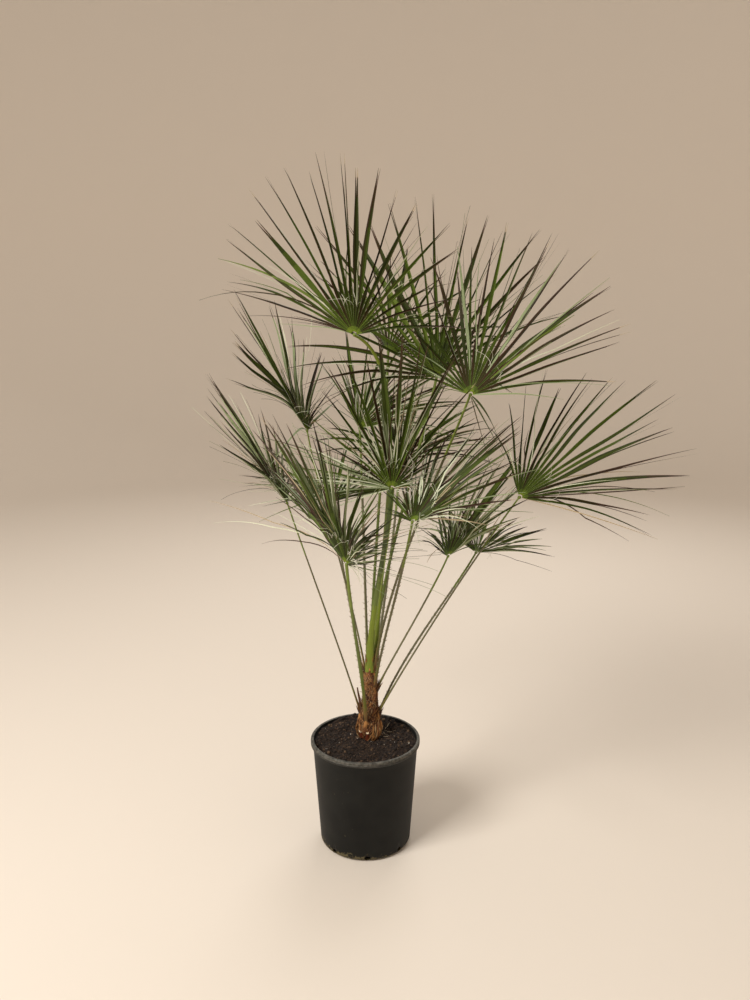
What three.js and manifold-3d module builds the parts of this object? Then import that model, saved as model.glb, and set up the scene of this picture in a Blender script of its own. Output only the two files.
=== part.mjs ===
// Potted European fan palm: a short fibrous trunk in a nursery pot, with stiff fan fronds on long
// slender stalks. Millimetres and degrees, +Z up. The origin is the centre of the pot's flat underside,
// and azimuth 0 looks along +Y, so +X is on the right.
import * as THREE from 'three';
import { mergeVertices } from 'three/addons/utils/BufferGeometryUtils.js';
import Module from 'manifold-3d';

const wasm = await Module();
wasm.setup();

// Clearance between neighbouring pieces, and the distance within which corners of one piece are merged
const GAP = 0.3;
const MERGE = 1e-4;

// Nursery pot: a tapered shell with a rolled rim and drain holes round its rounded lower edge
const POT = {
  height: 263,
  rimRadius: 130,
  rimHeight: 13,
  rimBead: 3,
  topRadius: 124.6,
  footRadius: 108.5,
  edgeRound: 12,
  edgeSteps: 3,
  wall: 2.6,
  floor: 4,
  sides: 48,
  holes: 8,
  holeRadius: 7,
  holeHeight: 9,
  holeSides: 12,
  holeTurn: 3,
};

// Potting soil: a little below the rim, higher towards the back, with a level pad under the trunk. Each
// wave of its surface is given by its turns per mm across and away, and its phase.
const SOIL = {
  level: 252,
  padRadius: 36,
  backRise: 0.07,
  lump: 3.2,
  waves: { across: [0.11, 1.3], away: [0.09, -0.4], slant: [0.05, -0.13], slantShare: 0.7 },
  rings: [0.45, 0.62, 0.8],
  footInset: 2,
};

// Trunk: a waist at the soil, a flare where old leaf bases ring it, then a taper to the growing tip.
// Radii are given at shares of its height.
const TRUNK = {
  x: 8,
  y: 20,
  height: 196,
  lean: 5,
  sides: 20,
  radii: [[0, 19], [0.06, 24], [0.14, 27], [0.22, 25], [0.32, 21], [0.45, 18], [0.6, 15], [0.8, 12], [1, 9]],
  rings: 14,
  scaleDepth: 1.3,
};

// Cut bases of old stalks that stand on the trunk: azimuth, height above the soil, length, width
const STUBS = [
  { turn: -97, rise: 1, length: 22, width: 10 },
  { turn: -142, rise: 6, length: 18, width: 14 },
  { turn: 170, rise: 10, length: 25, width: 13 },
  { turn: -48, rise: 8, length: 20, width: 13 },
  { turn: -4, rise: 12, length: 23, width: 14 },
  { turn: 48, rise: 14, length: 26, width: 14 },
  { turn: 100, rise: 12, length: 25, width: 14 },
];

const STUB_FORM = { taper: 0.35, sink: 13, proud: 3, splay: 5, slant: 2.5 };

// Outline of a stub as shares of its half width across and of its thickness outward, and where it is cut
const STUB_OUTLINE = [[-1, 0.3], [0, 1], [1, 0.3], [1, -1], [-1, -1]];
const STUB_STEPS = [0, 0.5, 1];

// A dead stalk left on the trunk: azimuth, then distance from the axis and rise at its foot and its tip
const OLD_STALK = { turn: 208, foot: [13, 28], tip: [31, 134], width: 7.5, tipWidth: 4.5, sides: 6 };

// Blade: a pleated sheet that starts round the stalk's knob and splits into leaflets
const BLADE = {
  knobRadius: 6.6,
  innerRadius: 7,
  knobHeight: 8,
  knobSides: 10,
  join: 0.18,
  broad: 0.58,
  width: 0.027,
  minThickness: 0.01,
  pleat: 2.4,
  edgeLoss: 0.32,
  edgePower: 2.2,
  edgeSlim: 0.35,
  edgeSag: 2,
  margin: 0.8,
  rootRoom: 4,
};

// Small differences between leaflets: turn and lift in degrees, length, droop and width as shares.
// DRAWS keeps their repeatable numbers apart.
const VARIETY = { turn: 1.8, lift: 3.4, length: 0.09, sag: 0.5, width: 0.36 };
const DRAWS = { turn: 0, lift: 58, length: 80, sag: 120, width: 160 };

// Lifts and turns tried, in degrees, where a leaflet would touch a neighbour, then lengths it is cut to
const LIFTS = [0, 4, -4, 8, -8, 12, -12, 16, -16];
const TURNS = [0, 2, -2];
const CUTS = [1, 0.85, 0.7, 0.6];

// Stalks: a flattened tube that widens into a sheathing foot against the trunk
const STALK = {
  sides: 6,
  steps: 9,
  tipShare: 0.85,
  footFlare: 0.35,
  footShare: 0.15,
  flatness: 0.62,
  seatDepth: 0.3,
};

// Fronds. hub is the place of the hastula, where the blade starts. heading, rise and roll turn the
// blade: its middle leaflet points to that azimuth and height, with the blade rolled about it. left and
// right are the spread on each side. foot is the stalk's azimuth and height on the trunk, and start
// and arrive are the offsets of the stalk's two control points from foot and hub.
const FRONDS = [
  { name: 'top_left', hub: [-20, -60, 1210], heading: -142, rise: 74, roll: -152, reach: 357,
    left: 60, right: 88, leaflets: 22, cup: 0.12, sag: 0.05, stem: 13,
    foot: [14, 450], start: [18, 10, 330], arrive: [130, 74, -62] },
  { name: 'upper_right', hub: [220, -120, 1090], heading: 4, rise: 61, roll: 36, reach: 385,
    left: 98, right: 64, leaflets: 22, cup: 0.1, sag: 0.05, stem: 8,
    foot: [-42, 428], start: [30, -14, 230], arrive: [-52, 16, -150] },
  { name: 'upper_back', hub: [165, 100, 1110], heading: 100, rise: 70, roll: -11, reach: 455,
    left: 92, right: 62, leaflets: 20, cup: 0.1, sag: 0.06, stem: 7.5,
    foot: [72, 414], start: [16, 26, 240], arrive: [-40, -20, -190] },
  { name: 'behind_top', hub: [55, 220, 1160], heading: 68, rise: 38, roll: 28, reach: 400,
    left: 60, right: 84, leaflets: 18, cup: 0.1, sag: 0.08, stem: 7,
    foot: [98, 388], start: [8, 30, 260], arrive: [-6, -70, -180] },
  { name: 'left_upper', hub: [-135, 100, 985], heading: -158, rise: 63, roll: -37, reach: 345,
    left: 43, right: 90, leaflets: 16, cup: 0.1, sag: 0.05, stem: 7,
    foot: [178, 420], start: [-30, 16, 190], arrive: [26, -22, -150] },
  { name: 'back_left', hub: [-15, 225, 975], heading: 82, rise: 43, roll: -2, reach: 350,
    left: 32, right: 84, leaflets: 14, cup: 0.1, sag: 0.08, stem: 7,
    foot: [124, 436], start: [-8, 22, 190], arrive: [8, -60, -130] },
  { name: 'left', hub: [-175, 0, 835], heading: 174, rise: 58, roll: 3, reach: 326,
    left: 57, right: 80, leaflets: 17, cup: 0.08, sag: 0.04, stem: 7,
    foot: [186, 318], start: [-52, -2, 180], arrive: [50, -2, -160] },
  { name: 'front_left', hub: [-35, -220, 755], heading: 171, rise: 64, roll: -141, reach: 348,
    left: 48, right: 80, leaflets: 16, cup: -0.1, sag: 0.06, stem: 8,
    foot: [-108, 306], start: [-6, -60, 150], arrive: [8, 62, -150] },
  { name: 'middle', hub: [60, -60, 880], heading: -108, rise: 83, roll: -170, reach: 335,
    left: 54, right: 54, leaflets: 15, cup: 0.1, sag: 0.05, stem: 12,
    foot: [-100, 447], start: [2, -16, 140], arrive: [-8, 4, -140] },
  { name: 'front_right', hub: [100, -180, 835], heading: 19, rise: 42, roll: 2, reach: 320,
    left: 78, right: 62, leaflets: 17, cup: 0.1, sag: 0.05, stem: 7.5,
    foot: [-46, 388], start: [22, -42, 150], arrive: [-20, 30, -140] },
  { name: 'right', hub: [335, -80, 865], heading: 4, rise: 42, roll: 37, reach: 375,
    left: 68, right: 62, leaflets: 18, cup: 0.1, sag: 0.06, stem: 7.5,
    foot: [-14, 318], start: [86, -14, 170], arrive: [-86, 16, -130] },
  { name: 'right_back', hub: [270, 140, 680], heading: 66, rise: 8, roll: 20, reach: 285,
    left: 78, right: 44, leaflets: 15, cup: 0.1, sag: 0.06, stem: 7,
    foot: [26, 304], start: [46, 34, 130], arrive: [-60, -50, -90] },
  { name: 'right_low', hub: [190, 0, 710], heading: 37, rise: 48, roll: -18, reach: 290,
    left: 80, right: 60, leaflets: 15, cup: 0.1, sag: 0.06, stem: 7.5,
    foot: [4, 374], start: [40, 0, 90], arrive: [-46, 0, -110] },
  { name: 'low_back_left', hub: [-80, 215, 790], heading: 112, rise: 26, roll: -4, reach: 320,
    left: 60, right: 74, leaflets: 15, cup: 0.1, sag: 0.08, stem: 6,
    foot: [118, 356], start: [-28, 60, 150], arrive: [14, -52, -130] },
  { name: 'low_back', hub: [85, 235, 890], heading: 80, rise: 40, roll: 4, reach: 340,
    left: 80, right: 78, leaflets: 17, cup: 0.1, sag: 0.08, stem: 6.5,
    foot: [72, 346], start: [22, 64, 190], arrive: [-8, -52, -160] },
];

// A repeatable number from -1 to 1 for each pair of counts
function noise(a, b) {
  const s = Math.sin(a * 12.9898 + b * 78.233) * 43758.5453;
  return 2 * (s - Math.floor(s)) - 1;
}

const rad = THREE.MathUtils.degToRad;
const clamp = THREE.MathUtils.clamp;
const DODGES = CUTS.flatMap((cut) => LIFTS.flatMap((lift) => TURNS.map((turn) => [cut, lift, turn])));
const vec = (x, y, z) => new THREE.Vector3(x, y, z);

// Straight interpolation in a list of [position, value] pairs
function along(pairs, position) {
  const last = pairs.length - 1;
  for (let i = 0; i < last; i++) {
    const [a, va] = pairs[i];
    const [b, vb] = pairs[i + 1];
    if (position <= b) return va + (vb - va) * clamp((position - a) / (b - a), 0, 1);
  }
  return pairs[last][1];
}

// A closed mesh from triangles given by their corners
class Skin {
  constructor() {
    this.corners = [];
  }

  tri(a, b, c) {
    for (const p of [a, b, c]) this.corners.push(p.x, p.y, p.z);
  }

  quad(a, b, c, d) {
    this.tri(a, b, c);
    this.tri(a, c, d);
  }

  geometry() {
    const plain = new THREE.BufferGeometry();
    plain.setAttribute('position', new THREE.Float32BufferAttribute(this.corners, 3));
    return mergeVertices(plain, MERGE);
  }
}

// Turns a geometry into a solid for a cut or a join, and back
function toSolid(geometry) {
  const plain = geometry.clone();
  plain.deleteAttribute('normal');
  plain.deleteAttribute('uv');
  const merged = mergeVertices(plain, MERGE);
  const vertProperties = new Float32Array(merged.attributes.position.array);
  const triVerts = new Uint32Array(merged.index.array);
  return new wasm.Manifold(new wasm.Mesh({ numProp: 3, vertProperties, triVerts }));
}

function fromSolid(solid) {
  const mesh = solid.getMesh();
  const geometry = new THREE.BufferGeometry();
  geometry.setAttribute('position', new THREE.BufferAttribute(mesh.vertProperties, 3));
  geometry.setIndex(new THREE.BufferAttribute(mesh.triVerts, 1));
  return geometry;
}

// Loft through closed rings of equal count, each ring turning anticlockwise seen from its far end
function loft(rings) {
  const skin = new Skin();
  const count = rings[0].length;
  const middle = (ring) => ring.reduce((sum, p) => sum.add(p), vec(0, 0, 0)).divideScalar(count);
  const first = middle(rings[0]);
  const last = middle(rings[rings.length - 1]);
  for (let j = 0; j < count; j++) {
    const k = (j + 1) % count;
    skin.tri(first, rings[0][k], rings[0][j]);
    skin.tri(last, rings[rings.length - 1][j], rings[rings.length - 1][k]);
    for (let i = 0; i + 1 < rings.length; i++) {
      skin.quad(rings[i][j], rings[i][k], rings[i + 1][k], rings[i + 1][j]);
    }
  }
  return skin.geometry();
}

// Pot

function potInnerRadius(z) {
  const slope = (POT.topRadius - POT.footRadius) / (POT.height - POT.rimHeight);
  return POT.footRadius + slope * z - POT.wall;
}

function makePot() {
  const { height, rimRadius, rimHeight, rimBead, topRadius, footRadius, edgeRound, wall, floor } = POT;
  const outline = [[0, 0]];
  for (let i = 0; i <= POT.edgeSteps; i++) {
    const turn = (Math.PI / 2) * (i / POT.edgeSteps);
    const r = footRadius - edgeRound * (1 - Math.sin(turn));
    outline.push([r, edgeRound * (1 - Math.cos(turn))]);
  }
  outline.push([topRadius, height - rimHeight]);
  outline.push([rimRadius - rimBead, height - rimHeight]);
  outline.push([rimRadius, height - rimHeight + rimBead]);
  outline.push([rimRadius, height - rimBead]);
  outline.push([rimRadius - rimBead, height]);
  outline.push([potInnerRadius(height), height]);
  outline.push([potInnerRadius(edgeRound), edgeRound]);
  outline.push([footRadius - edgeRound, floor]);
  outline.push([0, floor]);
  const points = outline.map(([r, z]) => new THREE.Vector2(r, z));
  const shell = new THREE.LatheGeometry(points, POT.sides);
  shell.rotateX(Math.PI / 2);
  let solid = toSolid(shell);
  const holeLength = 2 * edgeRound;
  for (let i = 0; i < POT.holes; i++) {
    const turn = (2 * Math.PI * i) / POT.holes + rad(POT.holeTurn);
    const cutter = new THREE.CylinderGeometry(POT.holeRadius, POT.holeRadius, holeLength, POT.holeSides);
    cutter.rotateZ(Math.PI / 2);
    cutter.translate(footRadius - edgeRound / 2, 0, POT.holeHeight);
    cutter.rotateZ(turn);
    solid = solid.subtract(toSolid(cutter));
  }
  return fromSolid(solid);
}

// Soil

function soilHeight(x, y) {
  const fromTrunk = Math.hypot(x - TRUNK.x, y - TRUNK.y);
  const { across, away, slant, slantShare } = SOIL.waves;
  const swell = Math.sin(x * across[0] + across[1]) * Math.cos(y * away[0] + away[1]);
  const wave = swell + slantShare * Math.sin(x * slant[0] + y * slant[1]);
  const open = clamp((fromTrunk - SOIL.padRadius) / SOIL.padRadius, 0, 1);
  return SOIL.level + open * (SOIL.lump * wave + SOIL.backRise * y);
}

function makeSoil() {
  const turns = Array.from({ length: POT.sides }, (_, j) => (2 * Math.PI * j) / POT.sides);
  const edge = (z, turn) => {
    const r = potInnerRadius(z) - 2 * GAP;
    return vec(r * Math.cos(turn), r * Math.sin(turn), z);
  };
  const top = (share, turn) => {
    const rim = edge(SOIL.level, turn);
    const x = TRUNK.x * (1 - share) + rim.x * share;
    const y = TRUNK.y * (1 - share) + rim.y * share;
    return vec(x, y, soilHeight(x, y));
  };
  const bottomRadius = POT.footRadius - POT.edgeRound - SOIL.footInset;
  const bottom = POT.floor + GAP;
  const padShare = SOIL.padRadius / potInnerRadius(SOIL.level);
  const shares = [...SOIL.rings, padShare].sort((a, b) => b - a);
  const rings = [
    turns.map((t) => vec(bottomRadius * Math.cos(t), bottomRadius * Math.sin(t), bottom)),
    turns.map((t) => edge(POT.edgeRound + POT.floor, t)),
    turns.map((t) => {
      const rim = edge(SOIL.level, t);
      return edge(soilHeight(rim.x, rim.y), t);
    }),
    ...shares.map((share) => turns.map((t) => top(share, t))),
  ];
  return loft(rings);
}

// Trunk

const trunkFoot = SOIL.level + GAP;

function trunkAxis(z) {
  const share = clamp((z - trunkFoot) / TRUNK.height, 0, 1);
  return vec(TRUNK.x + TRUNK.lean * share, TRUNK.y, z);
}

function trunkRings(grow) {
  const rings = [];
  for (let i = 0; i <= TRUNK.rings; i++) {
    const share = i / TRUNK.rings;
    const z = trunkFoot + TRUNK.height * share - (i === 0 ? grow : 0) + (i === TRUNK.rings ? grow : 0);
    const centre = trunkAxis(z);
    const ring = [];
    for (let j = 0; j < TRUNK.sides; j++) {
      const turn = (2 * Math.PI * (j + 0.5 * (i % 2))) / TRUNK.sides;
      const scale = TRUNK.scaleDepth * noise(i, j) * (1 - share);
      const r = along(TRUNK.radii, share) + scale + grow;
      ring.push(vec(centre.x + r * Math.cos(turn), centre.y + r * Math.sin(turn), z));
    }
    rings.push(ring);
  }
  return rings;
}

// One cut stalk base: a flat tapered wedge that rises out of the trunk and ends in a slanted cut
function makeStub({ turn, rise, length, width }, grow) {
  const z = trunkFoot + rise - grow;
  const share = rise / TRUNK.height;
  const rings = STUB_STEPS.map((t) => {
    const size = 1 - STUB_FORM.taper * t;
    return STUB_OUTLINE.map(([u, v]) => {
      const proud = v < 0 ? -STUB_FORM.sink : v * STUB_FORM.proud * size + STUB_FORM.splay * t + grow;
      const up = t * (length + 2 * grow) - (t === 1 ? v * STUB_FORM.slant : 0);
      return vec(along(TRUNK.radii, share) + proud, u * ((width / 2) * size + grow), up);
    });
  });
  const geometry = loft(rings);
  geometry.rotateZ(rad(turn));
  const centre = trunkAxis(z);
  geometry.translate(centre.x, centre.y, z);
  return geometry;
}

function makeOldStalk(grow) {
  const { turn, foot, tip, width, tipWidth, sides } = OLD_STALK;
  const rings = [[foot, width], [tip, tipWidth]].map(([[away, rise], size], k) => {
    const centre = trunkAxis(trunkFoot + rise + k * grow);
    return Array.from({ length: sides }, (_, j) => {
      const around = (2 * Math.PI * j) / sides;
      const out = away + (size / 2 + grow) * Math.cos(around);
      return vec(out, (size / 2 + grow) * Math.sin(around), centre.z);
    });
  });
  const geometry = loft(rings);
  geometry.rotateZ(rad(turn));
  const axis = trunkAxis(trunkFoot + foot[1]);
  geometry.translate(axis.x, axis.y, 0);
  return geometry;
}

// The trunk with its stubs, grown on all sides where it is the room that stalks keep clear of
function trunkSolid(grow) {
  let solid = toSolid(loft(trunkRings(grow)));
  for (const stub of STUBS) solid = solid.add(toSolid(makeStub(stub, grow)));
  return solid.add(toSolid(makeOldStalk(grow)));
}

// Clearance rule: every stalk and leaflet is remembered as tapered tubes, which later leaflets keep off

const taken = [];
const PARALLEL = 1e-9;

// Clear distance between two tapered tubes
function segmentGap(a, b) {
  const u = b.to.clone().sub(b.from);
  const v = a.to.clone().sub(a.from);
  const w = a.from.clone().sub(b.from);
  const uu = u.dot(u);
  const vv = v.dot(v);
  const uv = u.dot(v);
  const uw = u.dot(w);
  const vw = v.dot(w);
  const det = uu * vv - uv * uv;
  let s = det > PARALLEL ? clamp((uu * -vw + uv * uw) / det, 0, 1) : 0.5;
  let t = clamp((uv * s + uw) / uu, 0, 1);
  s = clamp((uv * t - vw) / vv, 0, 1);
  t = clamp((uv * s + uw) / uu, 0, 1);
  const p = a.from.clone().addScaledVector(v, s);
  const q = b.from.clone().addScaledVector(u, t);
  const size = a.size[0] + (a.size[1] - a.size[0]) * s + b.size[0] + (b.size[1] - b.size[0]) * t;
  return p.distanceTo(q) - size;
}

function isClear(tubes, owner) {
  return tubes.every((tube) => taken.every((other) => {
    const own = other.owner === owner;
    if (own && !(tube.free && other.free)) return true;
    return segmentGap(tube, other) > GAP;
  }));
}

// Blade

class Blade {
  constructor(frond, number) {
    this.frond = frond;
    this.number = number;
    this.hub = vec(...frond.hub);
    const h = rad(frond.heading);
    const p = rad(frond.rise);
    const r = rad(frond.roll);
    this.axis = vec(Math.cos(p) * Math.cos(h), Math.cos(p) * Math.sin(h), Math.sin(p));
    const level = vec(-Math.sin(h), Math.cos(h), 0);
    const lift = this.axis.clone().cross(level);
    this.side = level.clone().multiplyScalar(Math.cos(r)).addScaledVector(lift, Math.sin(r));
    this.up = this.axis.clone().cross(this.side);
    this.step = (frond.left + frond.right) / frond.leaflets;
    this.thickness = frond.reach * BLADE.minThickness;
    this.pairs = [];
  }

  // Direction of a ray at an angle from the middle, in degrees, and the blade's upward side there
  ray(angle, lift = 0) {
    const t = rad(angle);
    const flat = this.axis.clone().multiplyScalar(Math.cos(t)).addScaledVector(this.side, Math.sin(t));
    const rise = this.frond.cup * Math.sin(Math.abs(t)) + Math.tan(rad(lift));
    const dir = flat.addScaledVector(this.up, rise).normalize();
    const up = this.up.clone().addScaledVector(dir, -this.up.dot(dir)).normalize();
    return { dir, up };
  }

  // A point on a ridge or valley of the pleated inner sheet
  inner(half, radius) {
    const { dir, up } = this.ray(-this.frond.right + this.step * half);
    const ridge = half === Math.floor(half) ? 1 : -1;
    const pleat = BLADE.pleat * (radius / (this.frond.reach * BLADE.join));
    const point = this.hub.clone().addScaledVector(dir, radius).addScaledVector(up, ridge * pleat);
    return this.thicken(point, up);
  }

  thicken(point, up) {
    const half = this.thickness / 2;
    return { top: point.clone().addScaledVector(up, half), base: point.clone().addScaledVector(up, -half) };
  }

  // Centre, upward side and width direction of leaflet i at a share of its length
  station(leaflet, share) {
    const { dir, up } = leaflet;
    const past = Math.max(0, (share - BLADE.join) / (1 - BLADE.join));
    const drop = leaflet.sag * leaflet.length * past * past;
    const centre = this.hub.clone().addScaledVector(dir, leaflet.length * share);
    centre.z -= drop;
    return { centre, up, across: up.clone().cross(dir) };
  }

  leaflet(i, [cut, lifted, turned]) {
    const { frond, number } = this;
    const spread = Math.max(frond.left, frond.right);
    const home = -frond.right + this.step * (i + 0.5);
    const vary = (what) => VARIETY[what] * noise(number + DRAWS[what], i);
    const angle = home + vary('turn') + turned;
    const lift = vary('lift') + lifted;
    const outer = Math.pow(Math.abs(home) / spread, BLADE.edgePower);
    const length = frond.reach * (1 - BLADE.edgeLoss * outer) * (1 + vary('length')) * cut;
    const sag = frond.sag * (1 + vary('sag')) * (1 + BLADE.edgeSag * outer);
    const half = ((frond.reach * BLADE.width) / 2) * (1 - BLADE.edgeSlim * outer) * (1 + vary('width'));
    return { i, home: this.ray(home).dir, ...this.ray(angle, lift), length, sag, half };
  }

  tubes(leaflet) {
    const joinRadius = this.frond.reach * BLADE.join;
    const place = (share) => this.station(leaflet, share).centre;
    const root = this.hub.clone().addScaledVector(leaflet.home, BLADE.innerRadius);
    const join = this.hub.clone().addScaledVector(leaflet.home, joinRadius);
    const half = leaflet.half + BLADE.margin;
    const joinHalf = (joinRadius * rad(this.step)) / 2 + BLADE.margin;
    const owner = this.number;
    return [
      { from: root, to: join, size: [BLADE.rootRoom, joinHalf], owner, free: false },
      { from: join, to: place(BLADE.broad), size: [joinHalf, half], owner, free: false },
      { from: place(BLADE.broad), to: place(1), size: [half, this.thickness / 2], owner, free: true },
    ];
  }

  // Picks for each leaflet the first way to lie that keeps clear of everything placed before
  grow() {
    this.leaflets = [];
    for (let i = 0; i < this.frond.leaflets; i++) {
      let chosen = null;
      for (const dodge of DODGES) {
        const trial = this.leaflet(i, dodge);
        if (isClear(this.tubes(trial), this.number)) {
          chosen = trial;
          break;
        }
      }
      chosen = chosen || this.leaflet(i, DODGES[DODGES.length - 1]);
      taken.push(...this.tubes(chosen));
      this.leaflets.push(chosen);
    }
  }

  // Right edge, middle fold and left edge of one leaflet, from the hub to its tip
  rows(leaflet) {
    const { i } = leaflet;
    const joinRadius = this.frond.reach * BLADE.join;
    const rows = [BLADE.innerRadius, joinRadius].map((radius) => (
      [0, 0.5, 1].map((half) => this.inner(i + half, radius))
    ));
    const broad = this.station(leaflet, BLADE.broad);
    rows.push([-1, 0, 1].map((edge) => {
      const fold = edge === 0 ? -BLADE.pleat / 2 : BLADE.pleat / 2;
      const point = broad.centre.clone().addScaledVector(broad.across, edge * leaflet.half);
      return this.thicken(point.addScaledVector(broad.up, fold), broad.up);
    }));
    const tip = this.station(leaflet, 1);
    rows.push(this.thicken(tip.centre, tip.up));
    return rows;
  }

  geometry() {
    const skin = new Skin();
    const last = this.leaflets.length - 1;
    for (const leaflet of this.leaflets) {
      const rows = this.rows(leaflet);
      const tip = rows.pop();
      const [root] = rows;
      for (let k = 0; k + 1 < rows.length; k++) {
        const [near, far] = [rows[k], rows[k + 1]];
        for (let c = 0; c < 2; c++) {
          skin.quad(near[c].top, far[c].top, far[c + 1].top, near[c + 1].top);
          skin.quad(near[c].base, near[c + 1].base, far[c + 1].base, far[c].base);
        }
        const outside = k > 0;
        if (outside || leaflet.i === last) skin.quad(near[2].top, far[2].top, far[2].base, near[2].base);
        if (outside || leaflet.i === 0) skin.quad(near[0].top, near[0].base, far[0].base, far[0].top);
      }
      const end = rows[rows.length - 1];
      for (let c = 0; c < 2; c++) {
        skin.tri(end[c].top, tip.top, end[c + 1].top);
        skin.tri(end[c].base, end[c + 1].base, tip.base);
        skin.quad(root[c].base, root[c].top, root[c + 1].top, root[c + 1].base);
      }
      skin.quad(end[2].top, tip.top, tip.base, end[2].base);
      skin.quad(end[0].top, end[0].base, tip.base, tip.top);
    }
    return skin.geometry();
  }
}

// Stalk

class Stalk {
  constructor(frond, number) {
    this.frond = frond;
    this.number = number;
    const [turn, height] = frond.foot;
    const share = clamp((height - trunkFoot) / TRUNK.height, 0, 1);
    const out = vec(Math.cos(rad(turn)), Math.sin(rad(turn)), 0);
    const seat = along(TRUNK.radii, share) + frond.stem * STALK.flatness * STALK.seatDepth;
    const foot = trunkAxis(height).addScaledVector(out, seat);
    foot.z = height;
    const hub = vec(...frond.hub);
    this.curve = new THREE.CubicBezierCurve3(
      foot,
      foot.clone().add(vec(...frond.start)),
      hub.clone().add(vec(...frond.arrive)),
      hub,
    );
    this.across = vec(-out.y, out.x, 0);
  }

  width(share) {
    const { stem } = this.frond;
    const flare = STALK.footFlare * Math.max(0, 1 - share / STALK.footShare);
    return stem * (1 + (STALK.tipShare - 1) * share + flare);
  }

  tubes() {
    const owner = this.number;
    return Array.from({ length: STALK.steps }, (_, k) => {
      const [a, b] = [k / STALK.steps, (k + 1) / STALK.steps];
      const size = [this.width(a) / 2, this.width(b) / 2];
      return { from: this.curve.getPoint(a), to: this.curve.getPoint(b), size, owner, free: false };
    });
  }

  solid(blade) {
    const rings = [];
    for (let k = 0; k <= STALK.steps; k++) {
      const share = k / STALK.steps;
      const centre = this.curve.getPoint(share);
      const forward = this.curve.getTangent(share);
      const thick = this.across.clone().cross(forward).normalize();
      const wide = forward.clone().cross(thick).normalize();
      const half = this.width(share) / 2;
      rings.push(Array.from({ length: STALK.sides }, (_, j) => {
        const turn = (2 * Math.PI * j) / STALK.sides;
        const p = centre.clone().addScaledVector(thick, half * STALK.flatness * Math.sin(turn));
        return p.addScaledVector(wide, -half * Math.cos(turn));
      }));
    }
    const { knobRadius, knobHeight, knobSides } = BLADE;
    const knob = new THREE.CylinderGeometry(knobRadius, knobRadius, knobHeight, knobSides);
    const place = new THREE.Matrix4().makeBasis(blade.side, blade.up, blade.side.clone().cross(blade.up));
    place.setPosition(blade.hub);
    knob.applyMatrix4(place);
    return toSolid(loft(rings)).add(toSolid(knob));
  }
}

// Assembly

const COLOURS = {
  pot: [0x242421, 0.55],
  soil: [0x2f2219, 0.95],
  trunk: [0x574128, 0.9],
  stalk: [0x5b5d18, 0.5],
  blade: [0x3c4118, 0.45],
};

const plant = new THREE.Group();

function addPiece(name, geometry, look) {
  const [color, roughness] = COLOURS[look];
  const mesh = new THREE.Mesh(geometry, new THREE.MeshStandardMaterial({ color, roughness, metalness: 0 }));
  mesh.name = name;
  plant.add(mesh);
}

addPiece('pot', makePot(), 'pot');
addPiece('soil', makeSoil(), 'soil');
addPiece('trunk', fromSolid(trunkSolid(0)), 'trunk');

const trunkRoom = trunkSolid(GAP);
const stalks = FRONDS.map((frond, number) => new Stalk(frond, number));
const blades = FRONDS.map((frond, number) => new Blade(frond, number));
for (const stalk of stalks) taken.push(...stalk.tubes());
FRONDS.forEach((frond, number) => {
  const stalk = stalks[number].solid(blades[number]).subtract(trunkRoom);
  addPiece(`stalk_${frond.name}`, fromSolid(stalk), 'stalk');
  blades[number].grow();
  addPiece(`frond_${frond.name}`, blades[number].geometry(), 'blade');
});

export default plant;
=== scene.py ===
"""Potted European fan palm: fine leaflets, spined stalks, fibrous trunk, crumbly soil and a plastic pot.

Shapes are worked out in millimetres, as in the part's source, and turned into metres as each mesh is made.
"""

from math import cos, degrees, exp, floor, hypot, pi, radians, sin, sqrt, tan
from random import Random
from types import SimpleNamespace

import bpy
import numpy as np
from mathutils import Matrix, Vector
from mathutils import noise as fields


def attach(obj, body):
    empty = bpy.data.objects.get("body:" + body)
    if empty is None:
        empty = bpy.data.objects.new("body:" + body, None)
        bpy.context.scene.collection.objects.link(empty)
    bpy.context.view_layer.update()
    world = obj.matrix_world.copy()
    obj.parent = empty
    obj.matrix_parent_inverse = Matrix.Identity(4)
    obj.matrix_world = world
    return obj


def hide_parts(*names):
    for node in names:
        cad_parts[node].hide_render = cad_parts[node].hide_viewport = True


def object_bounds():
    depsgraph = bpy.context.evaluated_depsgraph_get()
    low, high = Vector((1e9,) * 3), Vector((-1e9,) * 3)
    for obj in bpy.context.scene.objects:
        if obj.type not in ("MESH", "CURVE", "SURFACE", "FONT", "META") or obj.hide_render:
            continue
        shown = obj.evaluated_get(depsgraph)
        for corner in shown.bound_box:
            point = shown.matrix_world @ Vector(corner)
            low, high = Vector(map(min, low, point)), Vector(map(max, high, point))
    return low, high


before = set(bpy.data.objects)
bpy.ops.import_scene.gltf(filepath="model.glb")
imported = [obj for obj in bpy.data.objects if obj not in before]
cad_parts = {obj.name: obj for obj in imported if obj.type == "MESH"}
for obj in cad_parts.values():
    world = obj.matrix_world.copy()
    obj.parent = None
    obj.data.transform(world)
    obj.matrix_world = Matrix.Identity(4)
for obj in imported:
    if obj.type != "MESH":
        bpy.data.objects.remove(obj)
cad_box = [list(corner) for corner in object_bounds()]

MM = 0.001
# Least gap between pieces, and how far strands may reach past the solids' box
GAP = 0.3
BEYOND = 28
ROOM = [np.array(corner) / MM + side * BEYOND for corner, side in zip(cad_box, (-1, 1))]
rng = Random(7)
uniform, gauss, choice, choices = rng.uniform, rng.gauss, rng.choice, rng.choices

# Camera, fixed by the ellipses of the pot's rim and base
CAMERA = SimpleNamespace(place=(0.0231, -1.981, 1.273), down=12.28, lens=32.4)

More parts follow.
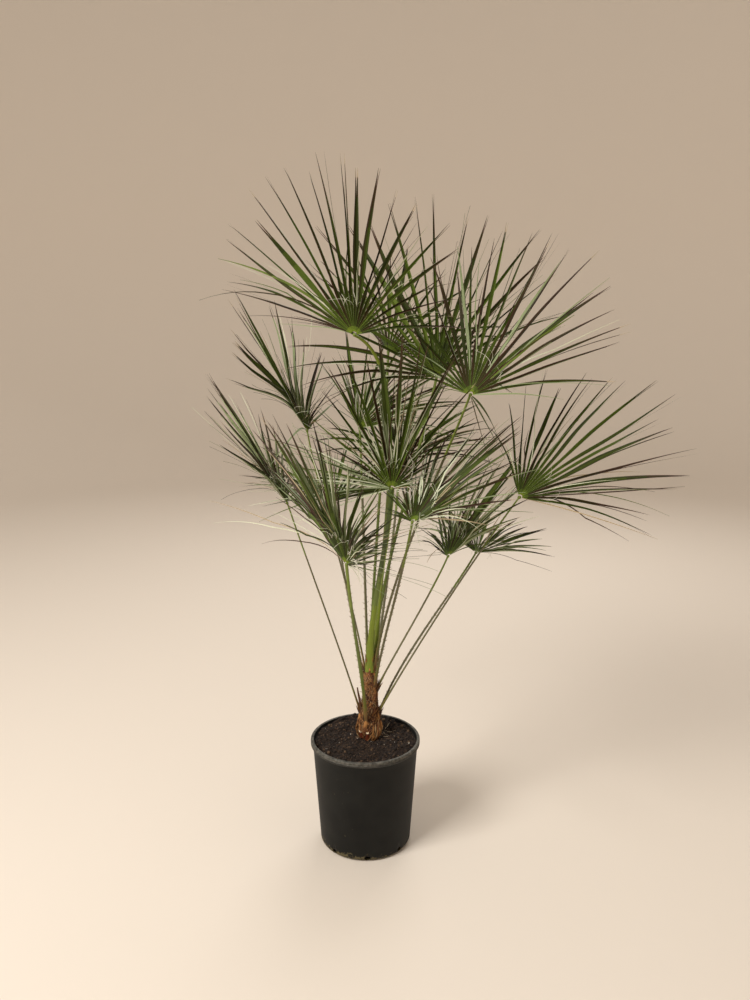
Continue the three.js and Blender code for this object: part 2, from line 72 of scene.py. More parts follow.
POT = SimpleNamespace(
    height=263, rim_radius=130, rim_height=13, rim_bead=3, top_radius=124.6,
    foot_radius=108.5, edge_round=12, wall=2.6, floor=4, sides=144, holes=8,
    hole_radius=7, hole_height=9, hole_turn=3,
)
SOIL = SimpleNamespace(
    level=252, pad_radius=36, back_rise=0.07, lump=3.2, sides=200, rows=70, crumbs=5200, grains=40,
    roots=40, pale_roots=12,
)
TRUNK = SimpleNamespace(x=8, y=20, height=196, lean=5, sides=168, rows=120, fibres=2300, strips=150)
# The trunk's radius at shares of its height
TRUNK_RADII = [
    (0, 19), (0.06, 24), (0.14, 27), (0.22, 25), (0.32, 21), (0.45, 18), (0.6, 15), (0.8, 12), (1, 9),
]

# Cut bases of old stalks: azimuth, height above the soil, length, width
STUBS = [
    (-97, 1, 22, 10), (-142, 6, 18, 14), (170, 10, 25, 13), (-48, 8, 20, 13), (-4, 12, 23, 14),
    (48, 14, 26, 14), (100, 12, 25, 14),
]
STUB_FORM = SimpleNamespace(taper=0.35, sink=13, proud=3, splay=5, slant=2.5)
OLD_STALK = SimpleNamespace(turn=208, foot=(13, 28), tip=(31, 134), width=7.5, tip_width=4.5)
# Scars of old stalks: height of a row, height of a scar and number round the trunk
SCAR_ROW, SCAR_HEIGHT, SCARS = 17, 30, 6
# The trunk is hollow round its two fresh cuts: azimuth and breadth in degrees
HOLLOWS = [(-97, 15), (-142, 14)]

BLADE = SimpleNamespace(
    inner_radius=7, join=0.18, broad=0.58, width=0.027, min_thickness=0.01, pleat=2.4,
    edge_loss=0.32, edge_power=2.2, edge_slim=0.35, edge_sag=2, margin=0.8, root_room=4,
    sheet=0.4,
)
VARIETY = {"turn": 1.8, "lift": 3.4, "length": 0.09, "sag": 0.5, "width": 0.36}
DRAWS = {"turn": 0, "lift": 58, "length": 80, "sag": 120, "width": 160}
LIFTS = [0, 4, -4, 8, -8, 12, -12, 16, -16]
TURNS = [0, 2, -2]
CUTS = [1, 0.85, 0.7, 0.6]
DODGES = [(cut, lift, turn) for cut in CUTS for lift in LIFTS for turn in TURNS]
STALK = SimpleNamespace(
    steps=9, tip_share=0.85, foot_flare=0.35, foot_share=0.15, flatness=0.62, seat_depth=0.3,
)
# Breadth of a finer leaflet at shares of its free length, and the least web that holds leaflets together
TAPER = [(0.3, 1), (0.45, 0.94), (0.65, 0.72), (0.85, 0.42), (0.96, 0.2), (1, 0.05)]
WEB_LEAST = 0.2

# Fronds: name, hub, heading, rise, roll, reach, left and right spread, leaflets, cup, sag, width of the
# stalk, its foot (azimuth, height), and the offsets of its two control points from foot and hub
FROND_KEYS = ("name", "hub", "heading", "rise", "roll", "reach", "left", "right", "leaflets", "cup", "sag",
              "stem", "foot", "start", "arrive")
FROND_ROWS = [
    ("top_left", (-20, -60, 1210), -142, 74, -152, 357, 60, 88, 22, 0.12, 0.05,
     13, (14, 450), (18, 10, 330), (130, 74, -62)),
    ("upper_right", (220, -120, 1090), 4, 61, 36, 385, 98, 64, 22, 0.1, 0.05,
     8, (-42, 428), (30, -14, 230), (-52, 16, -150)),
    ("upper_back", (165, 100, 1110), 100, 70, -11, 455, 92, 62, 20, 0.1, 0.06,
     7.5, (72, 414), (16, 26, 240), (-40, -20, -190)),
    ("behind_top", (55, 220, 1160), 68, 38, 28, 400, 60, 84, 18, 0.1, 0.08,
     7, (98, 388), (8, 30, 260), (-6, -70, -180)),
    ("left_upper", (-135, 100, 985), -158, 63, -37, 345, 43, 90, 16, 0.1, 0.05,
     7, (178, 420), (-30, 16, 190), (26, -22, -150)),
    ("back_left", (-15, 225, 975), 82, 43, -2, 350, 32, 84, 14, 0.1, 0.08,
     7, (124, 436), (-8, 22, 190), (8, -60, -130)),
    ("left", (-175, 0, 835), 174, 58, 3, 326, 57, 80, 17, 0.08, 0.04,
     7, (186, 318), (-52, -2, 180), (50, -2, -160)),
    ("front_left", (-35, -220, 755), 171, 64, -141, 348, 48, 80, 16, -0.1, 0.06,
     8, (-108, 306), (-6, -60, 150), (8, 62, -150)),
    ("middle", (60, -60, 880), -108, 83, -170, 335, 54, 54, 15, 0.1, 0.05,
     12, (-100, 447), (2, -16, 140), (-8, 4, -140)),
    ("front_right", (100, -180, 835), 19, 42, 2, 320, 78, 62, 17, 0.1, 0.05,
     7.5, (-46, 388), (22, -42, 150), (-20, 30, -140)),
    ("right", (335, -80, 865), 4, 42, 37, 375, 68, 62, 18, 0.1, 0.06,
     7.5, (-14, 318), (86, -14, 170), (-86, 16, -130)),
    ("right_back", (270, 140, 680), 66, 8, 20, 285, 78, 44, 15, 0.1, 0.06,
     7, (26, 304), (46, 34, 130), (-60, -50, -90)),
    ("right_low", (190, 0, 710), 37, 48, -18, 290, 80, 60, 15, 0.1, 0.06,
     7.5, (4, 374), (40, 0, 90), (-46, 0, -110)),
    ("low_back_left", (-80, 215, 790), 112, 26, -4, 320, 60, 74, 15, 0.1, 0.08,
     6, (118, 356), (-28, 60, 150), (14, -52, -130)),
    ("low_back", (85, 235, 890), 80, 40, 4, 340, 80, 78, 17, 0.1, 0.08,
     6.5, (72, 346), (22, 64, 190), (-8, -52, -160)),
]
FRONDS = [SimpleNamespace(**dict(zip(FROND_KEYS, row))) for row in FROND_ROWS]


# Helpers

def vec(*xyz):
    return np.array(xyz, float)


def unit(v):
    return v / np.linalg.norm(v)


def clamp(value, low=0.0, high=1.0):
    return max(low, min(high, value))


def along(pairs, position):
    """Straight interpolation in a list of (position, value) pairs."""
    return float(np.interp(position, [p for p, _ in pairs], [v for _, v in pairs]))


def pick(a, b):
    """The source's repeatable number from -1 to 1 for each pair of counts."""
    s = sin(a * 12.9898 + b * 78.233) * 43758.5453
    return 2 * (s - floor(s)) - 1


def azimuths(count):
    return [2 * pi * j / count for j in range(count)]


def shares(steps):
    return [k / steps for k in range(steps + 1)]


def spoke(turn):
    """The level direction at an azimuth in radians."""
    return vec(cos(turn), sin(turn), 0)


def ring(radius, z, count):
    return [(radius * cos(a), radius * sin(a), z) for a in azimuths(count)]


def beside(out):
    """The level direction to the left of another one, as seen along it."""
    return vec(-out[1], out[0], 0)


def eased(share):
    """A share from 0 to 1 that starts and ends slowly."""
    return share * share * (3 - 2 * share)


def degrees_off(turn, azimuth):
    """Degrees from an azimuth to a turn in radians, from -180 to 180."""
    return (degrees(turn) - azimuth + 180) % 360 - 180


def field(x, y, z):
    """Smooth noise from about -1 to 1 at a place in millimetres."""
    return fields.noise(Vector((x, y, z)))


def linear(r, g, b):
    """A display colour from 0 to 255 as scene-linear colour."""
    parts = [c / 255 for c in (r, g, b)]
    return (*(c / 12.92 if c <= 0.04045 else ((c + 0.055) / 1.055) ** 2.4 for c in parts), 1.0)


class Skin:
    """Points in millimetres and faces with their finishes, gathered into one mesh."""

    def __init__(self):
        self.points, self.faces, self.looks, self.count = [], [], [], 0

    def add(self, points, faces, look=0):
        points = np.asarray(points, float).reshape(-1, 3)
        faces = np.asarray(faces, int)
        self.points.append(points)
        self.faces.extend((faces + self.count).tolist())
        self.looks.extend(np.broadcast_to(look, len(faces)).tolist())
        self.count += len(points)

    def grid(self, rows, look=0, wrap=False, flip=False):
        """Quads between rows of points. look is one finish, one for each gap between rows, or a table."""
        rows = np.asarray(rows, float)
        n, m = rows.shape[:2]
        i, j = np.meshgrid(np.arange(n - 1), np.arange(m if wrap else m - 1), indexing="ij")
        a, b = i * m + j, i * m + (j + 1) % m
        faces = np.stack([a, a + m, b + m, b] if flip else [a, b, b + m, a + m], -1).reshape(-1, 4)
        if np.ndim(look) == 1:
            look = np.repeat(look, i.shape[1])
        look = np.ravel(look) if np.ndim(look) else look
        self.add(rows, faces, look)

    def tube(self, path, radii, sides=4, look=0):
        """A round limb along a path, closed at both ends by points."""
        path = np.asarray(path, float)
        forward = np.gradient(path, axis=0)
        forward /= np.linalg.norm(forward, axis=1)[:, None] + 1e-12
        lead = vec(0, 0, 1) if abs(forward[0][2]) < 0.9 else vec(1, 0, 0)
        across = np.cross(forward, lead)
        across /= np.linalg.norm(across, axis=1)[:, None] + 1e-12
        up = np.cross(forward, across)
        turns = np.array(azimuths(sides))[None, :, None]
        round_it = np.cos(turns) * across[:, None] + np.sin(turns) * up[:, None]
        first, looks = self.count, np.ravel(look)
        radii = np.broadcast_to(radii, len(path))[:, None, None]
        self.grid(path[:, None] + round_it * radii, look, wrap=True)
        last, end = self.count - sides, self.count
        for j in range(sides):
            self.faces.append([first + (j + 1) % sides, first + j, end])
        for j in range(sides):
            self.faces.append([last + j, last + (j + 1) % sides, end + 1])
        self.points.append(path[[0, -1]])
        self.looks.extend([looks[0]] * sides + [looks[-1]] * sides)
        self.count += 2

    def ribbon(self, path, across, halves, look=0, sheet=0.3):
        """A thin strip along a path, a little thicker along its middle."""
        path = np.asarray(path, float)
        across = np.broadcast_to(across, path.shape)
        up = np.cross(np.gradient(path, axis=0), across)
        up /= np.linalg.norm(up, axis=1)[:, None] + 1e-12
        reach = across * np.broadcast_to(halves, len(path))[:, None]
        self.grid(np.stack([path - reach, path + up * sheet, path + reach], 1), look, flip=True)
        self.grid(np.stack([path - reach, path - up * sheet, path + reach], 1), look)

    def made(self, name, finishes=(), scale=MM, smooth=True):
        """One object of everything gathered, with points times scale in metres."""
        mesh = bpy.data.meshes.new(name)
        mesh.from_pydata((np.concatenate(self.points) * scale).tolist(), [], self.faces)
        for material in finishes:
            mesh.materials.append(material)
        mesh.polygons.foreach_set("material_index", [int(look) for look in self.looks])
        mesh.polygons.foreach_set("use_smooth", [smooth] * len(self.faces))
        mesh.update()
        obj = bpy.data.objects.new(name, mesh)
        bpy.context.scene.collection.objects.link(obj)
        return obj


def placed(obj, nodes):
    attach(obj, "root")
    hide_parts(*nodes)


# Finishes

def added(tree, kind, inputs, **settings):
    """A new shader node, with each input set to a value or linked to another node's output."""
    node = tree.nodes.new("ShaderNode" + kind)
    for key, value in settings.items():
        setattr(node, key, value)
    for key, value in inputs.items():
        if isinstance(value, bpy.types.NodeSocket):
            tree.links.new(value, node.inputs[key])
        else:
            node.inputs[key].default_value = value
    return node


def finish(name, colour, roughness, mottle=0.0, grain=60.0, stretch=(1, 1, 1), bump=0.0, depth=0.0005,
           shine=0.5):
    """A finish of a display colour, which varies by mottle, with bumps of the same grain."""
    colour = linear(*colour)
    made = bpy.data.materials.new(name)
    made.use_nodes = True
    tree = made.node_tree
    shader = tree.nodes["Principled BSDF"].inputs
    shader["Base Color"].default_value = colour
    shader["Roughness"].default_value = roughness
    shader["Specular IOR Level"].default_value = shine
    if mottle or bump:
        place = added(tree, "TexCoord", {}).outputs["Object"]
        scaled = added(tree, "Mapping", {"Vector": place, "Scale": stretch}).outputs["Vector"]
        cloud = added(tree, "TexNoise", {"Vector": scaled, "Scale": grain, "Detail": 4.0}).outputs["Fac"]
    if mottle:
        ramp = added(tree, "ValToRGB", {"Fac": cloud})
        for stop, position, gain in zip(ramp.color_ramp.elements, (0.3, 0.7), (1 - mottle, 1 + mottle)):
            stop.position = position
            stop.color = (*(c * gain for c in colour[:3]), 1)
        tree.links.new(ramp.outputs["Color"], shader["Base Color"])
    if bump:
        lift = added(tree, "Bump", {"Height": cloud, "Strength": bump, "Distance": depth})
        tree.links.new(lift.outputs["Normal"], shader["Normal"])
    return made


# Leaf colours from the dry brown tip to the bright heart, then those of undersides and strands
TONES = [
    (62, 42, 28), (54, 46, 22), (48, 56, 18), (62, 74, 22), (76, 92, 30), (92, 108, 38), (106, 124, 42),
    (120, 138, 38),
]
LEAF = [finish(f"leaf_{n}", colour, 0.55, shine=0.22) for n, colour in enumerate(TONES)]
LEAF += [
    finish("leaf_under", (134, 146, 106), 0.6, shine=0.3),
    finish("leaf_dry", (166, 148, 118), 0.7, shine=0.3),
    finish("thread", (226, 222, 204), 0.8, shine=0.3),
    # Pale grey strands, made a little lighter as a painted highlight for the light they reflect
    finish("strand_grey", (204, 208, 180), 0.6, shine=0.3),
]
TIP, EDGE, DEEP, GREEN_LEAF, HEART, UNDER, DRY, THREAD, SILVER = 0, 1, 2, 4, 7, 8, 9, 10, 11


def tone(value):
    return int(clamp(round(value), 0, len(TONES) - 1))


# Long strands that droop or curl out of a frond: angle, lift, length as a share of the reach, droop, curl,
# half width and finish
DROOPERS = {
    "top_left": [(43.7, 5.8, 1.08, 0.36, 0.01, 1.5, EDGE), (35.9, 1.3, 0.88, -0.03, 0.31, 2.8, 5)],
    "front_left": [(56.4, 8.7, 1.6, 0.28, -0.19, 1, DRY), (56, 8.5, 1.6, 0.24, 0.02, 1, SILVER),
                   (61.7, 4.9, 1.05, 0.21, 0.08, 1.2, TIP), (-81.7, -1.2, 0.72, -0.16, -0.22, 1, SILVER),
                   (-75.6, -6.5, 0.75, -0.16, -0.25, 1, DRY)],
    "right": [(-62.4, 0.9, 0.82, 0.28, 0.21, 1.2, DRY), (-46.7, -0.4, 0.94, 0.09, 0.11, 1.4, TIP)],
    "upper_right": [(-67.6, 5.6, 0.69, -0.02, -0.12, 1.5, UNDER), (37, 3, 0.92, 0.04, 0.03, 3.4, UNDER),
                    (-9, 4, 0.86, 0.05, 0.01, 2.8, UNDER), (-31, 4, 0.74, 0.06, -0.02, 2.8, 5),
                    (-96, 0, 0.36, 0.3, -0.1, 2.4, DEEP), (-112, 0, 0.42, 0.2, 0.1, 1.8, DEEP),
                    (-124, 0, 0.5, 0.1, 0.05, 1.4, EDGE), (84, 0, 0.5, 0.2, 0.05, 1.6, GREEN_LEAF)],
    "left_upper": [(-102.4, 11.1, 1.06, 0.44, -0.16, 1, SILVER), (71.3, 1.1, 0.66, 0.51, -0.23, 2.4, UNDER)],
    "right_low": [(75.9, -6.6, 0.57, 0.34, 0, 1.5, DRY)],
    "left": [(57.3, -5.9, 1.02, 0.1, 0.2, 1, TIP)],
    "middle": [(-53.7, -12.9, 0.54, 0.62, 0.09, 1.1, DRY), (3, 3, 0.66, 0.02, 0.02, 4.4, UNDER)],
    "front_right": [(-62.3, 4.4, 0.82, 0.08, -0.25, 1, SILVER)],
}
# Fronds whose leaflets are broader, and those with more loose strands or with tangled threads
BOLD = {
    "upper_right": 1.2, "front_right": 1.45, "right_low": 1.7, "right_back": 1.4, "front_left": 1.4,
    "middle": 1.35,
}
TANGLED = ("middle", "front_left", "front_right")
LOOSE = TANGLED + ("right_low", "back_left", "left_upper", "low_back_left", "left")
# Narrow leaflets beside and between the others: from and to angle, number, and least and greatest length
# as a share of the reach
FILL = {
    "middle": [(54, 104, 26, 0.45, 1.05), (-78, -50, 14, 0.22, 0.55), (-40, 40, 10, 0.4, 0.9)],
    "front_left": [(-80, 48, 34, 0.5, 0.95), (-104, -55, 26, 0.55, 0.95)],
    "front_right": [(62, 96, 14, 0.35, 0.8), (-62, 40, 20, 0.4, 0.9)],
    "back_left": [(-84, 32, 22, 0.5, 0.95)],
    "left": [(-80, 57, 14, 0.5, 0.95)],
    "left_upper": [(-90, 43, 12, 0.5, 0.95)],
    "right_low": [(-60, 80, 12, 0.45, 0.95)],
    "right_back": [(-44, 78, 10, 0.5, 0.95)],
    "low_back": [(-78, 80, 20, 0.5, 0.95)],
    "low_back_left": [(-74, 60, 22, 0.5, 0.95)],
}
# How often they are pale grey, as a weight, where it isn't 1
FILL_PALE = {"middle": 4.5, "front_left": 2, "front_right": 2.5}
# Mean tone of a frond's leaflets, counted along TONES: the usual one and those of fronds that differ
USUAL_SHADE = 3.4
# The lighter tones of left_upper and left are painted light, against the shade their folded leaflets cast on
# each other
SHADES = {
    "front_right": 3.0, "front_left": 3.2, "middle": 3.0, "left_upper": 4.2, "left": 3.7, "top_left": 2.9,
    "upper_right": 3.1,
}
# How far a frond is folded together, and the share of its reach to which its leaflets hold together
SHEAF = {"left_upper": 0.6, "left": 0.45, "front_left": 0.25}
WEB = {
    "front_left": 0.42, "front_right": 0.36, "middle": 0.27, "right_low": 0.4, "top_left": 0.3,
    "upper_right": 0.28, "right": 0.25, "upper_back": 0.24,
}
STEM = [
    finish(name, colour, roughness, mottle, 90, (1, 1, 0.1), bump)
    for name, colour, roughness, mottle, bump in (
        ("stalk_foot", (122, 96, 56), 0.65, 0.25, 0.3),
        ("stalk_bright", (106, 120, 20), 0.42, 0.14, 0.2),
        ("stalk_green", (90, 104, 38), 0.45, 0.14, 0.2),
        ("stalk_grey", (102, 99, 68), 0.5, 0.18, 0.2),
        ("stalk_upper", (104, 120, 38), 0.45, 0.12, 0.2),
        ("spine", (134, 120, 76), 0.5, 0, 0),
        ("stalk_olive", (104, 104, 44), 0.5, 0.18, 0.2),
        ("stalk_deep", (66, 80, 28), 0.45, 0.2, 0.2),
        # Pale green painted highlight along one edge of the bright stalks
        ("stalk_painted_highlight", (140, 160, 74), 0.5, 0.14, 0.2),
    )
]
FOOT, BRIGHT, GREEN, GREY, UPPER, SPINE, OLIVE, DEEP_STEM, PAINTED_HIGHLIGHT_EDGE = range(9)
STEM_TONES = {
    "top_left": BRIGHT, "middle": BRIGHT, "front_left": GREEN, "behind_top": GREEN, "upper_back": GREEN,
}
BARK = [
    finish("bark", (84, 52, 30), 0.95, 0.35, 140, (1, 1, 0.25), 0.8, 0.002),
    finish("fibre_tan", (168, 118, 66), 0.9),
    finish("fibre_brown", (112, 68, 38), 0.9),
    finish("fibre_dark", (46, 30, 22), 0.9),
    finish("cut_wood", (222, 204, 170), 0.8),
    finish("fibre_pale", (188, 154, 112), 0.85),
    finish("stub_red", (96, 44, 26), 0.35),
]
TAN, BROWN, DARK, CUT, PALE, RED = range(1, 7)
CRUMB_DARK, CRUMB_BROWN, CRUMB_LIGHT, PERLITE, ROOT = range(1, 6)
EARTH = [
    finish("soil_dark", (38, 27, 20), 1.0, 0.55, 160, (1, 1, 1), 1.0, 0.002),
    finish("crumb_dark", (30, 21, 16), 1.0),
    finish("crumb_brown", (56, 41, 29), 1.0),
    finish("crumb_light", (92, 72, 54), 1.0),
    finish("perlite", (190, 182, 170), 0.95),
    finish("root", (190, 176, 154), 0.9),
]


def pot_finish():
    """Black plastic with dried soil round the lower edge, most of it at the front left."""
    made = finish("pot_plastic", (16, 17, 15), 0.58, 0.4, 24, (1, 1, 1), 0.05, shine=0.22)
    tree = made.node_tree
    colour = tree.nodes["Principled BSDF"].inputs["Base Color"]
    plain = colour.links[0].from_socket
    place = added(tree, "TexCoord", {}).outputs["Object"]
    at = added(tree, "SeparateXYZ", {"Vector": place}).outputs
    low = {"Value": at["Z"], "From Min": 0.027, "From Max": 0.003, "To Min": 0.0, "To Max": 0.42}
    sided = {"Value": at["X"], "From Min": 0.06, "From Max": -0.03, "To Min": -0.07, "To Max": 0.09}
    flecks = added(tree, "TexNoise", {"Vector": place, "Scale": 150, "Detail": 6}).outputs["Fac"]
    low, sided = (added(tree, "MapRange", inputs).outputs["Result"] for inputs in (low, sided))
    part = added(tree, "Math", {0: low, 1: sided}, operation="ADD").outputs["Value"]
    total = added(tree, "Math", {0: part, 1: flecks}, operation="ADD").outputs["Value"]
    edge = added(tree, "ValToRGB", {"Fac": total})
    edge.color_ramp.elements[0].position = 0.78
    edge.color_ramp.elements[1].position = 0.88
    dirt = {"Factor": edge.outputs["Color"], "A": plain, "B": linear(92, 84, 60)}
    mix = added(tree, "Mix", dirt, data_type="RGBA")
    tree.links.new(mix.outputs["Result"], colour)
    return made


# Clearance rule, as in the source: later leaflets keep away from the limbs and leaflets before them

taken = []


def gaps(tube, others):
    """Gap from one tube to each of the others, which are rows of two ends, two radii, owner and free."""
    u, v = others[:, 3:6] - others[:, 0:3], tube[3:6] - tube[0:3]
    w = tube[0:3] - others[:, 0:3]
    uu, vv, uv = (u * u).sum(1), v @ v, u @ v
    uw, vw = (u * w).sum(1), w @ v
    det = uu * vv - uv * uv
    s = np.where(det > 1e-9, np.clip((uv * uw - uu * vw) / np.where(det > 1e-9, det, 1), 0, 1), 0.5)
    t = np.clip((uv * s + uw) / uu, 0, 1)
    s = np.clip((uv * t - vw) / vv, 0, 1)
    t = np.clip((uv * s + uw) / uu, 0, 1)
    p = tube[0:3] + v * s[:, None]
    q = others[:, 0:3] + u * t[:, None]
    size = tube[6] + (tube[7] - tube[6]) * s + others[:, 6] + (others[:, 7] - others[:, 6]) * t
    return np.linalg.norm(p - q, axis=1) - size


def is_clear(tubes, rows):
    for tube in tubes:
        near = rows[(rows[:, 8] != tube[8]) | ((rows[:, 9] > 0) & (tube[9] > 0))]
        if len(near) and gaps(tube, near).min() <= GAP:
            return False
    return True


def tube_row(start, end, size, owner, free):
    return np.concatenate([start, end, size, [owner, free]])


# Stalks

trunk_foot = SOIL.level + GAP


def trunk_axis(z):
    share = clamp((z - trunk_foot) / TRUNK.height)
    return vec(TRUNK.x + TRUNK.lean * share, TRUNK.y, z)


class Stalk:
    def __init__(self, frond, number):
        self.frond, self.name, self.number = frond, frond.name, number
        turn, height = radians(frond.foot[0]), frond.foot[1]
        share = clamp((height - trunk_foot) / TRUNK.height)
        out = spoke(turn)
        seat = along(TRUNK_RADII, share) + frond.stem * STALK.flatness * STALK.seat_depth
        foot = trunk_axis(height) + out * seat
        hub = vec(*frond.hub)
        self.knots = [foot, foot + vec(*frond.start), hub + vec(*frond.arrive), hub]
        self.across = beside(out)

    def point(self, t):
        a, b, c, d = self.knots
        k = 1 - t
        return a * k ** 3 + b * 3 * k * k * t + c * 3 * k * t * t + d * t ** 3

    def forward(self, t):
        a, b, c, d = self.knots
        k = 1 - t
        return unit((b - a) * k * k + (c - b) * 2 * k * t + (d - c) * t * t)

    def width(self, share):
        flare = STALK.foot_flare * max(0, 1 - share / STALK.foot_share)
        return self.frond.stem * (1 + (STALK.tip_share - 1) * share + flare)

    def tubes(self):
        ends = shares(STALK.steps)
        return [tube_row(self.point(a), self.point(b), [self.width(a) / 2, self.width(b) / 2], self.number, 0)
                for a, b in zip(ends, ends[1:])]

    def axes(self, t):
        forward = self.forward(t)
        thick = unit(np.cross(self.across, forward))
        return forward, thick, unit(np.cross(forward, thick))

    def look(self, t, side):
        """The finish of one side at t: the borders are streaky, and a bright stalk has a pale painted
        highlight along its right edge.
        """
        plain = STEM_TONES.get(self.name, GREY)
        bands, above = [(0.04, FOOT), (0.12, OLIVE)], plain if t < 0.74 else UPPER
        if self.name == "front_left":
            bands = [(0.08, FOOT), (0.2, OLIVE)]
        if plain == BRIGHT:
            bands = [(0.3, BRIGHT), (0.48, GREEN)]
            above = BRIGHT if t > 0.8 and self.name == "top_left" else DEEP_STEM
            # Painted highlight: two sides along one edge of a bright stalk are pale
            if t > 0.2 and side in (6, 7):
                return PAINTED_HIGHLIGHT_EDGE
        streak = t + 0.05 * pick(side, self.number)
        return next((look for limit, look in bands if streak < limit), above)

    def dress(self, skin):
        """A grooved stalk, broader low down where it is bright, with spines along both edges."""
        steps, sides = 44, 16
        broader = 0.28 * (STEM_TONES.get(self.name) == BRIGHT)
        below = {"middle": -0.055, "front_left": -0.05}.get(self.name, 0)
        turns, rows, looks = np.array(azimuths(sides)), [], []
        for k in range(steps + 1):
            t = below + (1 - below) * k / steps
            _, thick, wide = self.axes(t)
            half = self.width(t) / 2 * (1 + broader * clamp(1.5 - 1.5 * t))
            groove = 1 + 0.05 * np.cos(7 * turns + 9 * t) + 0.03 * np.cos(5 * turns - 4 * t)
            level = half * STALK.flatness * np.sin(turns) * groove
            level = np.where(level > 0, level * 0.75, level * 1.1)[:, None]
            rows.append(self.point(t) + level * thick - (half * np.cos(turns) * groove)[:, None] * wide)
            looks.append([self.look(t, j) for j in range(sides)])
        skin.grid(rows, looks[:-1], wrap=True)
        self.dress_spines(skin)

    def dress_spines(self, skin):
        length = np.linalg.norm(np.diff([self.point(t) for t in shares(20)], axis=0), axis=1).sum()
        for edge in (-1, 1):
            t = 0.05 + uniform(0, 0.02)
            while t < 0.9:
                forward, thick, wide = self.axes(t)
                size = uniform(3.2, 7.5) * (1 - 0.35 * t)
                root = self.point(t) + wide * edge * self.width(t) / 2 * 0.86
                out = unit(wide * edge + forward * uniform(0.15, 0.7) + thick * uniform(-0.25, 0.25))
                bend = out * size * 0.55 + forward * size * 0.05
                path = [root, root + bend, root + out * size + forward * size * 0.3]
                skin.tube(path, [0.85, 0.55, 0.12], 4, SPINE)
                t += uniform(8, 22) / length


# Blades

